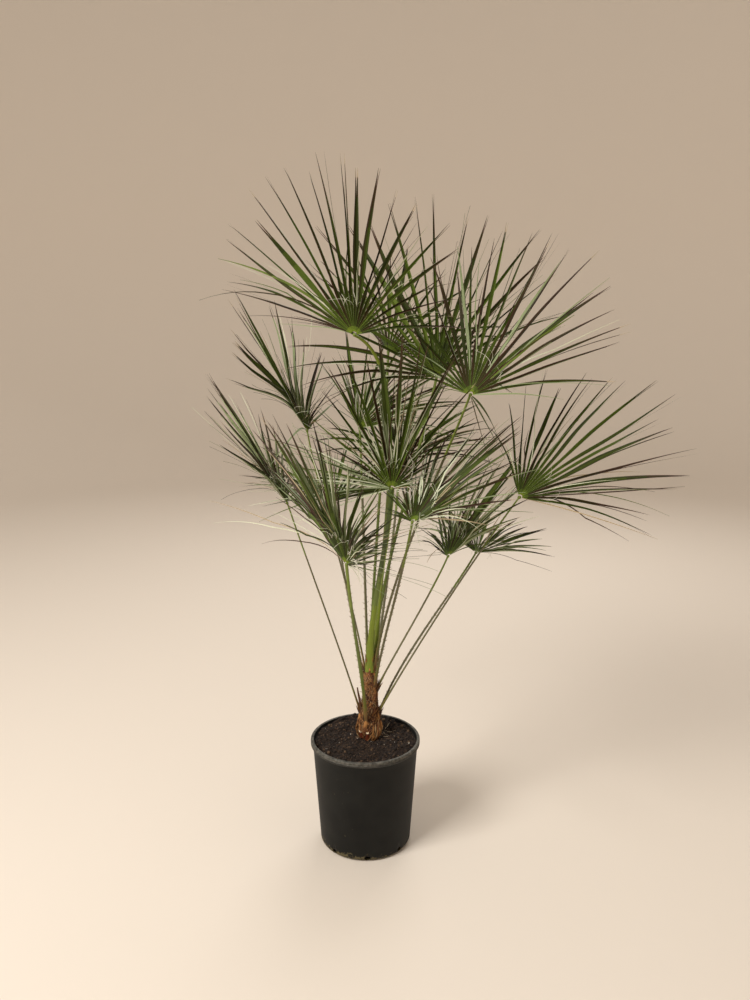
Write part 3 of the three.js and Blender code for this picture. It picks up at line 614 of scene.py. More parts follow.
class Blade:
    def __init__(self, frond, number):
        self.frond, self.name, self.number = frond, frond.name, number
        self.hub = vec(*frond.hub)
        h, p, r = (radians(angle) for angle in (frond.heading, frond.rise, frond.roll))
        self.axis = vec(cos(p) * cos(h), cos(p) * sin(h), sin(p))
        level = vec(-sin(h), cos(h), 0)
        lift = np.cross(self.axis, level)
        self.side = level * cos(r) + lift * sin(r)
        self.up = np.cross(self.axis, self.side)
        self.step = (frond.left + frond.right) / frond.leaflets
        self.thickness = frond.reach * BLADE.min_thickness
        self.join = frond.reach * BLADE.join

    def ray(self, angle, lift=0.0):
        """Direction of a ray at an angle from the middle, and the blade's upward side there."""
        t = radians(angle)
        flat = self.axis * cos(t) + self.side * sin(t)
        rise = self.frond.cup * sin(abs(t)) + tan(radians(lift))
        out = unit(flat + self.up * rise)
        return out, unit(self.up - out * (self.up @ out))

    def outer(self, angle):
        """0 in the middle of the blade and 1 at its furthest leaflets."""
        return (abs(angle) / max(self.frond.left, self.frond.right)) ** BLADE.edge_power

    def centre(self, leaflet, share):
        past = max(0, (share - BLADE.join) / (1 - BLADE.join))
        place = self.hub + leaflet.out * leaflet.length * share
        place[2] -= leaflet.sag * leaflet.length * past * past
        return place

    def leaflet(self, i, dodge):
        cut, lifted, turned = dodge
        frond, number = self.frond, self.number
        vary = {what: VARIETY[what] * pick(number + DRAWS[what], i) for what in VARIETY}
        home = -frond.right + self.step * (i + 0.5)
        outer = self.outer(home)
        length = frond.reach * (1 - BLADE.edge_loss * outer) * (1 + vary["length"]) * cut
        sag = frond.sag * (1 + vary["sag"]) * (1 + BLADE.edge_sag * outer)
        half = frond.reach * BLADE.width / 2 * (1 - BLADE.edge_slim * outer) * (1 + vary["width"])
        out, up = self.ray(home + vary["turn"] + turned, vary["lift"] + lifted)
        home = self.ray(home)[0]
        return SimpleNamespace(i=i, home=home, out=out, up=up, length=length, sag=sag, half=half)

    def tubes(self, leaflet):
        root = self.hub + leaflet.home * BLADE.inner_radius
        join = self.hub + leaflet.home * self.join
        half = leaflet.half + BLADE.margin
        join_half = self.join * radians(self.step) / 2 + BLADE.margin
        broad, tip = self.centre(leaflet, BLADE.broad), self.centre(leaflet, 1)
        return [
            tube_row(root, join, [BLADE.root_room, join_half], self.number, 0),
            tube_row(join, broad, [join_half, half], self.number, 0),
            tube_row(broad, tip, [half, self.thickness / 2], self.number, 1),
        ]

    def grow(self):
        """Picks for each leaflet the first way to lie that keeps clear of everything placed before."""
        self.leaflets = []
        for i in range(self.frond.leaflets):
            rows = np.array(taken)
            trials = (self.leaflet(i, dodge) for dodge in DODGES)
            chosen = next((trial for trial in trials if is_clear(self.tubes(trial), rows)), None)
            chosen = chosen or self.leaflet(i, DODGES[-1])
            taken.extend(self.tubes(chosen))
            self.leaflets.append(chosen)

    def dress(self, skin):
        self.notches = [self.join * uniform(0.34, 0.78) for _ in range(self.frond.leaflets + 1)]
        for leaflet in self.leaflets:
            self.dress_leaflet(skin, leaflet)
        self.dress_strands(skin)
        self.dress_threads(skin)

    def folded(self, place):
        """Draws a place to the middle of a frond that hangs half folded, up to its leaflets' outer parts."""
        away = place - self.hub
        share = clamp((np.linalg.norm(away) / self.frond.reach - 0.15) / 0.6)
        held = SHEAF.get(self.name, 0) * (1 - eased(share))
        return place - self.side * (away @ self.side) * held

    def bent(self, out, radius, level, curl, sag, length, t):
        """A place at share t of a leaflet or strand, which curls sideways and sags on its way out."""
        place = self.hub + out * radius + level * curl * length * t * t
        place[2] -= sag * length * t * t
        return self.folded(place)

    def pleated(self, angle, radius, raised):
        out, up = self.ray(angle)
        return self.folded(self.hub + out * radius + up * raised * BLADE.pleat * radius / self.join), up

    def traits(self, leaflet):
        """What a leaflet has of its own: breadth, split, bend and tones, and a painted shade for each half of
        its fold.
        """
        outer = self.outer(-self.frond.right + self.step * (leaflet.i + 0.5))
        broad = leaflet.half * (uniform(0.42, 0.66) if rng.random() < 0.45 else uniform(0.7, 1.2))
        broad *= (1 + (BOLD.get(self.name, 1) - 1) * (1 - outer)) * (1 - 0.25 * outer)
        deep = rng.random() < 0.35
        split, parting = (uniform(0.3, 0.7), uniform(4, 12)) if deep else (uniform(0.78, 0.92), 2)
        stray = {h: uniform(-6, 6) * deep for h in (-1, 1)}
        twist, curl = radians(gauss(0, 26)), gauss(0, 0.02)
        browned = rng.random() < 0.3 and broad < 0.75 * leaflet.half
        plain = gauss(1, 0.4) if browned else min(gauss(SHADES.get(self.name, USUAL_SHADE), 0.85), 4.7)
        return SimpleNamespace(
            broad=broad, split=split, parting=parting, stray=stray, twist=twist, curl=curl, tone=plain,
            web=WEB.get(self.name, 0) * (1 - outer), fresh=uniform(0.05, 0.35), darker=uniform(0.35, 0.8),
            # shade is painted shade: it darkens a half of the fold at random, for the unlit side of the V
            dried=choices((2, 0.95), (5, 1))[0], shade={h: choice((0, 0.8, 1.8)) for h in (-1, 1)},
        )

    def held_stations(self, leaflet, own):
        """Stations near the heart, where the leaflets are one pleated sheet with notches."""
        i, plain = leaflet.i, own.tone
        left = -self.frond.right + self.step * i
        for radius in [BLADE.inner_radius] + [self.join * share for share in (0.16, 0.3, 0.5, 0.68, 0.84, 1)]:
            near, up = self.pleated(left, radius, 1)
            fold, _ = self.pleated(left + self.step / 2, radius, -1)
            far, _ = self.pleated(left + self.step, radius, 1)
            shade = plain + (6.8 - plain) * clamp(1 - (radius - 6) / 26)
            halves, looks = {}, {}
            for h, edge, notch in ((-1, near, self.notches[i]), (1, far, self.notches[i + 1])):
                loose = 0.04 if own.web > WEB_LEAST else 0.44
                edge = edge + (fold - edge) * loose * clamp((radius - notch) / (self.join - notch + 1))
                halves[h] = (edge, (edge + fold) / 2, fold, up, 0.5)
                # Painted shade: the fold strip of a half is darker by that half's shade
                looks[h] = (tone(shade - 0.4), tone(shade - 0.8 * own.shade[h]))
            yield halves, looks, HEART - 1 if radius < 10 else UNDER, fold + up * 0.4, tone(shade + 1.4)

    def free_stations(self, leaflet, own):
        """Stations beyond, where each leaflet goes its own way and splits in two towards its tip."""
        broad, split = own.broad, own.split
        neck = 0.56 * self.join * radians(self.step) / 2
        profile = [(0, neck), (0.12, (neck + broad) / 2)] + [(t, share * broad) for t, share in TAPER]
        broad_t = (BLADE.broad - BLADE.join) / (1 - BLADE.join)
        level, length = np.cross(leaflet.up, leaflet.out), leaflet.length
        for t in shares(14)[1:]:
            blend = eased(clamp(t / broad_t))
            out = unit(leaflet.home * (1 - blend) + leaflet.out * blend)
            radius = self.join + (length - self.join) * t
            place = self.bent(out, radius, level, own.curl, leaflet.sag, length, t)
            turn = own.twist * t
            across = level * cos(turn) + leaflet.up * sin(turn)
            up = leaflet.up * cos(turn) - level * sin(turn)
            half = along(profile, t)
            if own.web > WEB_LEAST:
                parted = clamp((radius / self.frond.reach - own.web + 0.04) / 0.14)
                half = max(half, 0.93 * radius * radians(self.step) / 2 * (1 - parted))
            fold = 1.25 * BLADE.pleat * min(half / broad, 1.2) * (1 - 0.3 * t)
            apart = clamp((t - split) / (1 - split))
            browner = clamp((t - own.darker) / (1.06 - own.darker))
            shade = own.tone + 0.7 * clamp(1 - t / own.fresh) - (own.tone + 0.5) * browner
            halves, looks = {}, {}
            for h in (-1, 1):
                middle = place + across * h * own.parting * apart ** 1.4
                middle = middle + leaflet.up * own.stray[h] * apart ** 2
                edge = middle + across * h * half + up * fold * (1 - 0.6 * apart)
                inner = middle - up * fold * (1 - 0.6 * apart)
                halves[h] = (edge, (edge + inner) / 2, inner, up, half / broad)
                # Painted shade: the outer strip of a half is darker by that half's shade
                looks[h] = (DRY, DRY) if t > own.dried else (tone(shade - own.shade[h]), tone(shade))
            under = DRY if t > own.dried else UNDER if shade > 1.2 else tone(shade)
            rib = place - up * (fold - 0.35) if t < min(split, 0.5) else None
            yield halves, looks, under, rib, tone(shade + 1.3)

    def dress_leaflet(self, skin, leaflet):
        """Two half sheets that meet in the fold, part towards the tip and carry a pale rib."""
        own = self.traits(leaflet)
        stations = [*self.held_stations(leaflet, own), *self.free_stations(leaflet, own)]
        all_halves, all_looks, under_looks, ribs, rib_looks = zip(*stations)
        for h in (-1, 1):
            for side, looks in ((1, [look[h] for look in all_looks]), (-1, under_looks)):
                rows = [
                    (edge, middle + up * side * BLADE.sheet * size, fold)
                    for edge, middle, fold, up, size in (halves[h] for halves in all_halves)
                ]
                skin.grid(rows, looks[1:], flip=h * side < 0)
        rib = [place for place in ribs if place is not None]
        skin.tube(rib, np.linspace(0.7, 0.25, len(rib)), 3, rib_looks[1:len(rib)])

    def dress_strands(self, skin):
        """Thin strands that split off between the leaflets and bend out of the blade, and narrow leaflets."""
        frond = self.frond
        for _ in range(rng.randint(15, 22) + 20 * (self.name in LOOSE)):
            home = -frond.right + self.step * rng.randrange(0, frond.leaflets + 1)
            outer = self.outer(home)
            share = uniform(0.5, 1.02) * (1 - BLADE.edge_loss * outer)
            sag = frond.sag + abs(gauss(0, 0.05)) + 0.1 * outer
            look = choices((DEEP, GREEN_LEAF, UNDER, SILVER, TIP, DRY), (3, 3, 4, 5, 3, 2))[0]
            turned, lift, curl = gauss(0, 4), gauss(0, 7), gauss(0, 0.03)
            self.strand(skin, home, turned, lift, share, sag, curl, uniform(0.5, 1.5), look)
        for least, most, count, short, long in FILL.get(self.name, []):
            weights = (5, 4, 3, FILL_PALE.get(self.name, 1), 1, 2)
            for n in range(count):
                home = least + (most - least) * (n + rng.random()) / count
                look = choices((DEEP, GREEN_LEAF, UNDER, SILVER, DRY, EDGE), weights)[0]
                sag = frond.sag + abs(gauss(0, 0.06))
                turned, lift = gauss(0, 3), gauss(0, 8)
                share, curl = uniform(short, long), gauss(0, 0.03)
                half = uniform(1.1, 2.4) if look < UNDER else uniform(0.8, 1.6)
                self.strand(skin, home, turned, lift, share, sag, curl, half, look)
        for home, lift, share, sag, curl, half, look in DROOPERS.get(self.name, []):
            self.strand(skin, home, 0, lift, share, sag, curl, half, look)

    def strand(self, skin, home, turned, lift, share, sag, curl, half, look):
        start, up = self.ray(home)
        out, _ = self.ray(home + turned, lift)
        inside = -self.frond.right < home < self.frond.left
        first = 0.8 * self.join if inside else BLADE.inner_radius
        length, level = self.frond.reach * share, np.cross(up, out)
        path, across, widths = [], [], []
        for t in shares(12):
            blend = min(1, t * 2)
            aim, radius = unit(start * (1 - blend) + out * blend), first + (length - first) * t
            path.append(self.bent(aim, radius, level, curl, sag, length, t))
            across.append(level * cos(1.2 * t) + up * sin(1.2 * t))
            widths.append(half * min(1, 0.4 + 3 * t) * (1 - 0.9 * t ** 3) + 0.12)
        if (np.min(path, axis=0) < ROOM[0]).any() or (np.max(path, axis=0) > ROOM[1]).any():
            self.strand(skin, home, turned, lift, share * 0.96, sag, curl, half, look)
        else:
            skin.ribbon(path, across, widths, look)

    def dress_threads(self, skin):
        """Curled pale threads that hang from the notches between leaflets."""
        tangled = self.name in TANGLED
        for n in range(rng.randint(6, 10) + 16 * tangled):
            by_hub = n < 10 * tangled
            i = rng.randrange(1, self.frond.leaflets)
            out, up = self.ray(uniform(-125, -40) if by_hub else -self.frond.right + self.step * i)
            place = self.hub + out * (uniform(6, 40) if by_hub else self.join) + up * BLADE.pleat
            forward = unit(out + up * uniform(-0.5, 0.5))
            swing = unit(np.cross(forward, vec(uniform(-1, 1), uniform(-1, 1), uniform(-1, 1))))
            path, bend = [place], uniform(0.1, 0.45)
            for k in range(9):
                forward = unit(forward + swing * bend + vec(0, 0, -0.12))
                bend += uniform(-0.05, 0.09)
                path.append(path[-1] + forward * uniform(4, 8))
            radii = np.linspace(1.0 if by_hub else 0.6, 0.25, len(path))
            skin.tube(path, radii, 3, SILVER if n % 2 else THREAD)


# Trunk

def scar_relief(turn, rise):
    """How far the scars of old stalks stand out of the trunk at an azimuth and a height."""
    best, row_here = 0.0, int(rise // SCAR_ROW)
    for row in range(max(0, row_here - 1), row_here + 1):
        v = (rise - row * SCAR_ROW) / SCAR_HEIGHT
        u = 2 * ((turn / (2 * pi) * SCARS + 0.5 * (row % 2) + 0.17 * row) % 1) - 1
        edge = 1 - 0.55 * v
        if v <= 1 and abs(u) < edge:
            best = max(best, v ** 0.7 * (1 - (u / edge) ** 2) ** 0.5)
    return best


def trunk_radius(turn, z):
    rise = z - trunk_foot
    share = clamp(rise / TRUNK.height)
    x, y = cos(turn), sin(turn)
    relief = 2.6 * scar_relief(turn, rise) + field(x * 9, y * 9, rise * 0.035) * 0.9
    relief += field(x * 2.2, y * 2.2, rise * 0.09) * 1.2
    sunk = sum(exp(-(degrees_off(turn, at) / wide) ** 2) for at, wide in HOLLOWS)
    sunk *= 6.5 * clamp((44 - rise) / 14)
    return along(TRUNK_RADII, share) - 1.2 * (1 - share) - sunk + relief * (1 - 0.7 * share)


def make_trunk():
    skin = Skin()
    rows, sides = [], TRUNK.sides
    for share in shares(TRUNK.rows):
        z = trunk_foot + TRUNK.height * share
        rows.append([trunk_axis(z) + spoke(a) * trunk_radius(a, z) for a in azimuths(sides)])
    skin.grid(rows, 0, wrap=True)
    tops = [[j, (j + 1) % sides, sides] for j in range(sides)]
    skin.add(list(rows[-1]) + [trunk_axis(trunk_foot + TRUNK.height) + vec(0, 0, 2)], tops, 0)
    skin.add(list(rows[0]) + [trunk_axis(trunk_foot)], [face[::-1] for face in tops], 0)
    for stub in STUBS:
        dress_stub(skin, *stub)
    dress_old_stalk(skin)
    for _ in range(TRUNK.fibres):
        dress_fibre(skin)
    for _ in range(TRUNK.strips):
        dress_skirt(skin)
    for frond in FRONDS:
        dress_sheath(skin, Stalk(frond, 0))
        dress_tuft(skin, Stalk(frond, 0))
    placed(skin.made("trunk_bark", BARK), ["trunk"])


def dress_stub(skin, turn, rise, length, width):
    """A cut stalk base with a ragged, slanted top."""
    shape = [(0, 1), (0.6, 0.75), (1, 0.3), (1.02, -0.3), (1, -1)]
    shape = [(-u, v) for u, v in shape[2:0:-1]] + shape + [(-u, v) for u, v in shape[:2:-1]]
    out = spoke(radians(turn))
    side = beside(out)
    base = trunk_axis(trunk_foot + rise)
    rows, steps = [], 8
    for t in shares(steps):
        size = 1 - STUB_FORM.taper * t
        belt = []
        for u, v in shape:
            rough = 0.5 * field(u * 3 + turn, v * 3, t * 4)
            splay = STUB_FORM.splay * t
            proud = -STUB_FORM.sink if v < -0.5 else v * STUB_FORM.proud * size + splay + rough
            ragged = uniform(-2.5, 1.5) if t == 1 else 0
            up = t * length - (v * STUB_FORM.slant if t == 1 else 0) + ragged
            radius = along(TRUNK_RADII, rise / TRUNK.height) + proud
            belt.append(base + out * radius + side * u * (width / 2 * size + rough) + vec(0, 0, up))
        rows.append(belt)
    fresh = rise < 7
    skin.grid(rows, [RED] * (steps - 1) + [CUT] if fresh else [0] * (steps - 2) + [BROWN, TAN], wrap=True)
    middle = np.mean(rows[-1], axis=0) - vec(0, 0, 0 if fresh else 1.5)
    m = len(shape)
    skin.add(list(rows[-1]) + [middle], [[j, (j + 1) % m, m] for j in range(m)], CUT if fresh else TAN)


def dress_old_stalk(skin):
    """A dead, dark stalk that leans out of the trunk and ends in a split point."""
    out = spoke(radians(OLD_STALK.turn))
    (near, low), (far, high) = OLD_STALK.foot, OLD_STALK.tip
    base, path, radii = trunk_axis(trunk_foot + low), [], []
    for t in shares(8):
        away = near + (far - near) * t + 0.7 * field(t * 6, 3, 1)
        path.append(base + out * away + vec(0, 0, (high - low) * t))
        width = OLD_STALK.width * (1 - t) + OLD_STALK.tip_width * t
        radii.append(width / 2 * (1 - 1.25 * max(0, t - 0.8)))
    skin.tube(path, radii, 10, [BROWN] * 3 + [0] * 5)


def dress_fibre(skin):
    """One strand of the old leaf sheaths, which crosses the trunk and frays out at its end."""
    rise = TRUNK.height * rng.random() ** 1.1
    turn, slope = uniform(0, 2 * pi), choice((-1, 1)) * abs(gauss(0.55, 0.35))
    length, lift = uniform(9, 34), uniform(0.2, 1.5)
    fray = uniform(1, 6) if rng.random() < 0.3 else 0.5
    path, top = [], TRUNK.height + 14
    if abs(degrees_off(turn, -92)) < 35:
        top = 172
        rise = min(rise, 160)
    for t in shares(5):
        z = min(rise + length * t * cos(slope), top)
        radius = trunk_radius(turn, trunk_foot + min(z, TRUNK.height))
        radius += lift * sin(pi * min(1, t + 0.15)) + fray * t * t
        path.append(trunk_axis(trunk_foot + z) + spoke(turn) * radius)
        turn += length / 5 * sin(slope) / max(radius, 6) + gauss(0, 0.02)
    shaded = 0.5 + 0.5 * cos(turn - radians(-20))
    look = choices((TAN, BROWN, DARK, PALE), (5 - 3 * shaded, 4, 1 + 3 * shaded, 1.2))[0]
    skin.tube(path, np.array([0.5, 0.55, 0.5, 0.45, 0.35, 0.15]) * uniform(0.7, 1.5), 3, look)


def dress_skirt(skin):
    """A curled strip of dry sheath that stands off the foot of the trunk."""
    turn = radians(choice((gauss(190, 26), gauss(-38, 20), uniform(0, 260) - 70)))
    if abs(degrees_off(turn, -97)) < 24:
        turn += radians(70)
    high, out = uniform(10, 48), spoke(turn)
    side = beside(out)
    bulge, lean, path = uniform(1, 6), gauss(0, 5), []
    for t in shares(9):
        z = trunk_foot + high * (1 - t) - 1
        radius = trunk_radius(turn, max(z, trunk_foot)) + 0.6 + bulge * sin(pi * min(1, 0.15 + t * 0.8))
        path.append(trunk_axis(z) + out * radius + side * lean * t * t)
    widths = uniform(0.7, 2.1) * (0.25 + 0.75 * np.sin(pi * (0.1 + 0.8 * np.array(shares(9)))))
    across = side * cos(0.5) + out * sin(0.5) * choice((-1, 1))
    skin.ribbon(path[::-1], across, widths, choices((PALE, TAN, BROWN, DARK), (4, 5, 2, 1))[0], 0.35)


def dress_sheath(skin, stalk):
    """The flattened base of a stalk, which runs down the trunk from its foot."""
    turn, height = radians(stalk.frond.foot[0]), stalk.frond.foot[1]
    long, wide = min(34, height - trunk_foot - 8), stalk.frond.stem
    rows, looks = [], []
    for t in shares(8):
        z = height + 3 - long * t
        half, proud = wide * (0.5 + 0.35 * t), (wide * 0.42 + 0.8) * (1 - 0.5 * t)
        row = []
        for u in np.linspace(-1, 1, 7):
            a = turn + u * half / 16
            radius = trunk_radius(a, z) * (1 - 0.2 * abs(u) ** 3) + proud * (1 - u * u)
            row.append(trunk_axis(z) + spoke(a) * radius)
        rows.append(row)
        looks.append(TAN if t < 0.6 else BROWN)
    skin.grid(rows, looks[:-1])


def dress_tuft(skin, stalk):
    """Ragged dark and brown fibres round the foot of a stalk."""
    reach = np.linalg.norm(stalk.point(0.12) - stalk.point(0))
    for _ in range(rng.randint(26, 40)):
        start, length = uniform(-0.3, 0.25), uniform(7, 24)
        turn, path = uniform(0, 2 * pi), []
        if stalk.name in ("middle", "front_left"):
            turn = choice((0, pi)) + gauss(0, 0.4)
        for t in shares(4):
            share = clamp((start * 30 + length * t) / reach * 0.12, 0, 0.3)
            forward, thick, wide = stalk.axes(share)
            half = stalk.width(share) / 2 + 0.5 + uniform(0, 0.5) + 2.2 * t * t
            place = stalk.point(share) + wide * cos(turn) * half + thick * sin(turn) * half * 0.75
            path.append(place + forward * min(0, start * 30 + length * t))
        look = choices((DARK, BROWN, TAN), (4, 4, 2))[0]
        skin.tube(path, np.array([0.55, 0.55, 0.45, 0.35, 0.15]) * uniform(0.8, 1.6), 3, look)


# Soil

def pot_inner_radius(z):
    slope = (POT.top_radius - POT.foot_radius) / (POT.height - POT.rim_height)
    return POT.foot_radius + slope * z - POT.wall


def soil_height(x, y):
    away = hypot(x - TRUNK.x, y - TRUNK.y)
    wave = sin(x * 0.11 + 1.3) * cos(y * 0.09 - 0.4) + 0.7 * sin(x * 0.05 - y * 0.13)
    opened = clamp((away - SOIL.pad_radius) / SOIL.pad_radius)
    return SOIL.level + opened * (SOIL.lump * wave + SOIL.back_rise * y)


def crumbled(x, y):
    waves = ((3.2, 0.06, 0), (2.2, 0.17, 4), (0.9, 0.5, 9))
    return soil_height(x, y) + sum(size * field(x * pace, y * pace, z) for size, pace, z in waves)


# A lump is an icosahedron: a top, two rings of five and a foot, joined by four belts of five faces
LUMP_POINTS = np.array([
    (0, 0, 1),
    (0.89, 0, 0.45), (0.28, 0.85, 0.45), (-0.72, 0.53, 0.45), (-0.72, -0.53, 0.45), (0.28, -0.85, 0.45),
    (0.72, 0.53, -0.45), (-0.28, 0.85, -0.45), (-0.89, 0, -0.45), (-0.28, -0.85, -0.45), (0.72, -0.53, -0.45),
    (0, 0, -1),
])
FIVE = [(j, (j + 1) % 5) for j in range(5)]
LUMP_FACES = (
    [(0, 1 + j, 1 + k) for j, k in FIVE] + [(1 + j, 6 + j, 1 + k) for j, k in FIVE]
    + [(1 + k, 6 + j, 6 + k) for j, k in FIVE] + [(6 + j, 11, 6 + k) for j, k in FIVE]
)


# Place and size of the largest grains of perlite and of the clods
PERLITE_GRAINS = [(-36, 33, 2.4), (-19, 10, 3), (104, -13, 2.8), (62, -66, 1.8), (-72, -30, 2), (20, 84, 2.2)]
CLODS = [(-28, 113, 5), (56, 102, 6.5), (70, 93, 5), (46, 108, 5), (-60, 98, 3.5), (98, 62, 4)]


def spot(radius):
    """A random place on a disc round the pot's axis."""
    a, r = uniform(0, 2 * pi), radius * sqrt(rng.random())
    return r * cos(a), r * sin(a)


def lump(skin, x, y, rise, size, look, stretch=(1, 1, 1)):
    """A rough lump whose middle lies at a height above the soil."""
    points = LUMP_POINTS * np.array([[uniform(0.7, 1.25)] for _ in LUMP_POINTS]) * size * np.array(stretch)
    a = uniform(0, 2 * pi)
    turned = np.array([(cos(a), -sin(a), 0), (sin(a), cos(a), 0), (0, 0, 1)])
    skin.add(points @ turned.T + (x, y, crumbled(x, y) + rise), LUMP_FACES, look)


def soil_block(skin, edge):
    sides, rows = SOIL.sides, []
    for share in shares(SOIL.rows):
        row = []
        for a in azimuths(sides):
            x = TRUNK.x * (1 - share) + edge * share * cos(a)
            y = TRUNK.y * (1 - share) + edge * share * sin(a)
            row.append((x, y, min(crumbled(x, y), POT.height - 1)))
        rows.append(row)
    for z in (SOIL.level - 12, POT.edge_round + POT.floor):
        rows.append(ring(pot_inner_radius(z) - 2 * GAP, z, sides))
    bottom = POT.foot_radius - POT.edge_round - 2
    for radius in (bottom, bottom * 0.5, 0.1):
        rows.append(ring(radius, POT.floor + GAP, sides))
    skin.grid(rows, 0, wrap=True, flip=True)


def dress_crumbs(skin, edge):
    """Crumbs all over, clods at the back and pale grains of perlite."""
    for _ in range(SOIL.crumbs):
        x, y = spot(edge - 3)
        size = min(rng.lognormvariate(0.35, 0.5), 4.8)
        look = choices((CRUMB_DARK, CRUMB_BROWN, CRUMB_LIGHT), (6, 4, 1))[0]
        lump(skin, x, y, size * 0.25, size, look, (1, uniform(0.6, 1), 0.75))
    for x, y, size in PERLITE_GRAINS:
        lump(skin, x, y, size * 0.4, size * 0.85, PERLITE, (1.2, uniform(0.6, 0.9), 0.6))
    for x, y, size in CLODS:
        lump(skin, x, y, size * 0.4, size, CRUMB_DARK)
    for _ in range(SOIL.grains):
        lump(skin, *spot(edge - 5), 0.9, uniform(0.5, 1), PERLITE)


def dress_roots(skin, edge):
    """Fine roots and fibres that lie on the soil, pale ones near the trunk."""
    for n in range(SOIL.roots):
        near = n < SOIL.pale_roots
        a, r = gauss(0.6, 0.5) if near else uniform(0, 2 * pi), uniform(26, 52 if near else 80)
        x, y = TRUNK.x + r * cos(a), TRUNK.y + r * sin(a)
        heading, path = uniform(0, 2 * pi), []
        for _ in range(7):
            if hypot(x, y) > edge - 4:
                break
            path.append((x, y, crumbled(x, y) + uniform(0.4, 2.2)))
            heading += gauss(0, 0.4)
            x, y = x + 5 * cos(heading), y + 5 * sin(heading)
        if len(path) > 2:
            look = ROOT if near else choice((CRUMB_LIGHT, CRUMB_LIGHT, CRUMB_BROWN, CRUMB_BROWN))
            skin.tube(path, np.linspace(0.9 if near else 0.6, 0.25, len(path)), 4, look)


def make_soil():
    skin, edge = Skin(), pot_inner_radius(SOIL.level) - 2 * GAP
    soil_block(skin, edge)
    dress_crumbs(skin, edge)
    dress_roots(skin, edge)
    placed(skin.made("soil_crumbs", EARTH), ["soil"])


# Pot

WALL, RIM, INNER, LOW_RIM = range(4)


def arc(cx, cz, radius, start, stop, steps):
    turns = [radians(start + (stop - start) * k / steps) for k in range(steps + 1)]
    return [(cx + radius * cos(a), cz + radius * sin(a)) for a in turns]


def pot_outline():
    height, rim, rim_height = POT.height, POT.rim_radius, POT.rim_height
    foot, top, turn, wall = POT.foot_radius, POT.top_radius, POT.edge_round, POT.wall
    bead, under = POT.rim_bead, height - rim_height
    points = [(0.1, 0), (foot * 0.5, 0), (foot - turn - 2, 0)]
    points += arc(foot - turn, turn, turn, -90, 0, 10)
    points += [(foot + (top - foot) * k / 12, turn + (under - turn) * k / 12) for k in range(1, 12)]
    points += [(top, under - 3), (top + 1, under - 0.6), (rim - bead, under)]
    points += arc(rim - bead, under + bead, bead, -90, 0, 5)
    points += [(rim, height - 7.5), (rim - 1.3, height - 6.6), (rim - 1.3, height - 5.8), (rim, height - 5)]
    points += arc(rim - bead, height - bead, bead, 0, 90, 6)
    points += arc(pot_inner_radius(height) + 1.2, height - 1.2, 1.2, 90, 180, 4)
    inner = [under, (under + turn) / 2, turn + 4]
    points += [(pot_inner_radius(z), z) for z in inner]
    points += arc(foot - turn, turn, turn - wall, 0, -80, 6)
    points += [(foot - turn - 4, POT.floor), (0.1, POT.floor)]
    return points


def drill_holes(pot):
    cutters = Skin()
    for a in azimuths(POT.holes):
        out = spoke(a + radians(POT.hole_turn))
        middle = out * (POT.foot_radius - POT.edge_round / 2) + vec(0, 0, POT.hole_height)
        path = [middle + out * POT.edge_round * side for side in (-1, 0, 1)]
        cutters.tube(path, POT.hole_radius, 24, 0)
    tool = cutters.made("hole_cutters", smooth=False)
    cut = pot.modifiers.new("holes", "BOOLEAN")
    cut.object, cut.operation, cut.solver = tool, "DIFFERENCE", "EXACT"
    graph = bpy.context.evaluated_depsgraph_get()
    pot.data = bpy.data.meshes.new_from_object(pot.evaluated_get(graph))
    pot.modifiers.clear()
    bpy.data.objects.remove(tool)


def make_pot():
    skin, m, outline = Skin(), POT.sides, pot_outline()
    under = POT.height - POT.rim_height
    crest = max(range(len(outline)), key=lambda n: outline[n][1])
    # The rim is light grey and its lower band mid grey over the black body: scuffs, with a painted highlight
    # on the rim
    bands = [(under - 0.1, WALL), (under + 5, LOW_RIM), (POT.height, RIM)]
    looks = [next(look for limit, look in bands if z <= limit) for _, z in outline[:-1]]
    looks[crest + 4:] = [INNER] * len(looks[crest + 4:])
    skin.grid([ring(radius, z, m) for radius, z in outline], looks, wrap=True)
    last = skin.count - m
    skin.faces += [list(range(m - 1, -1, -1)), list(range(last, last + m))]
    skin.looks += [WALL, INNER]
    pot = skin.made("pot_shell", [
        pot_finish(),
        # Scuffed grey, lightened as a painted highlight on the rim's top and upper face
        finish("pot_rim", (78, 76, 70), 0.6, 0.75, 150, (1, 1, 1), 0.4, shine=0.35),
        finish("pot_inside", (18, 18, 17), 0.8, shine=0.3),
        finish("pot_rim_low", (44, 43, 39), 0.55, 0.5, 90, (1, 1, 1), 0.2, shine=0.35),
    ])
    placed(pot, ["pot"])
    drill_holes(pot)


# Plant

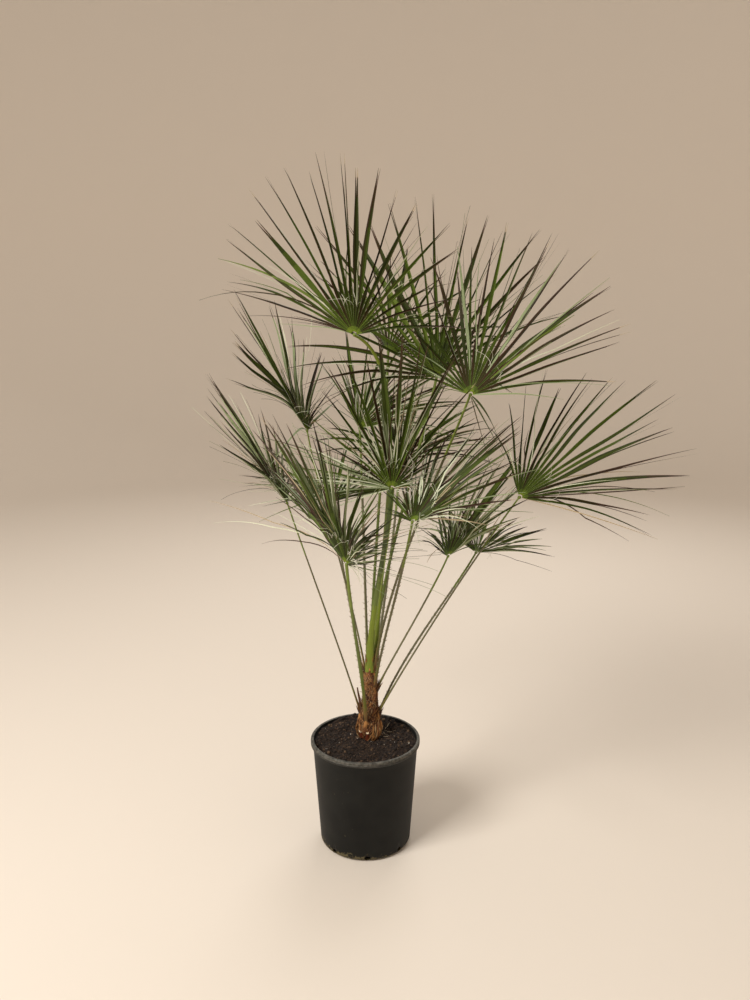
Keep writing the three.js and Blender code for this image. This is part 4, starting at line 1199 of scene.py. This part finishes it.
def make_fronds():
    """Every stalk with its blade: all stalks come first, because the leaflets keep clear of them."""
    stalks = [Stalk(frond, number) for number, frond in enumerate(FRONDS)]
    for stalk in stalks:
        taken.extend(stalk.tubes())
    for stalk in stalks:
        name, blade = stalk.name, Blade(stalk.frond, stalk.number)
        blade.grow()
        leaves, stem = Skin(), Skin()
        blade.dress(leaves)
        placed(leaves.made(f"leaves_{name}", LEAF), [f"frond_{name}"])
        stalk.dress(stem)
        heart = LUMP_POINTS * vec(4.6, 4.6, 3.4) @ np.stack([blade.axis, blade.side, blade.up])
        stem.add(heart + blade.hub, LUMP_FACES, UPPER)
        placed(stem.made(f"stem_{name}", STEM), [f"stalk_{name}"])


make_pot()
make_soil()
make_trunk()
make_fronds()


# Floor, light and camera

def area_light(name, place, size, power, colour):
    lamp = bpy.data.lights.new(name, "AREA")
    lamp.size, lamp.energy, lamp.color = size, power, colour
    obj = bpy.data.objects.new(name, lamp)
    obj.location = place
    aim = Vector((0.05, 0, 0.8)) - Vector(place)
    obj.rotation_euler = aim.to_track_quat("-Z", "Y").to_euler()
    bpy.context.scene.collection.objects.link(obj)


def studio_bowl():
    """A pale floor that sweeps up into a pale wall on all sides, in metres."""
    outline = [(0.01, 0), (2, 0), (4.5, 0)] + arc(4.5, 2.0, 2.0, -90, 0, 16)[1:] + [(6.5, 5.4)]
    skin = Skin()
    skin.grid([ring(radius, z, 96) for radius, z in outline], 0, wrap=True, flip=True)
    skin.made("floor", [finish("floor_pale", (232, 222, 210), 0.85)], scale=1)


studio_bowl()

area_light("key", (-2.4, -2.2, 3.2), 1.8, 165, (1.0, 0.97, 0.92))
area_light("fill", (2.8, -2.0, 2.0), 2.6, 5, (1.0, 0.96, 0.92))
area_light("back", (0.8, 2.8, 2.8), 2.0, 40, (1.0, 0.98, 0.95))

world = bpy.data.worlds.new("studio")
world.use_nodes = True
world.node_tree.nodes["Background"].inputs["Color"].default_value = linear(230, 220, 208)
world.node_tree.nodes["Background"].inputs["Strength"].default_value = 0.5
bpy.context.scene.world = world
bpy.context.scene.view_settings.view_transform = "Standard"

camera = bpy.data.cameras.new("camera")
camera.lens = CAMERA.lens
camera.sensor_width = 36
view = bpy.data.objects.new("camera", camera)
view.location = CAMERA.place
view.rotation_euler = (radians(90 - CAMERA.down), 0, 0)
bpy.context.scene.collection.objects.link(view)
bpy.context.scene.camera = view
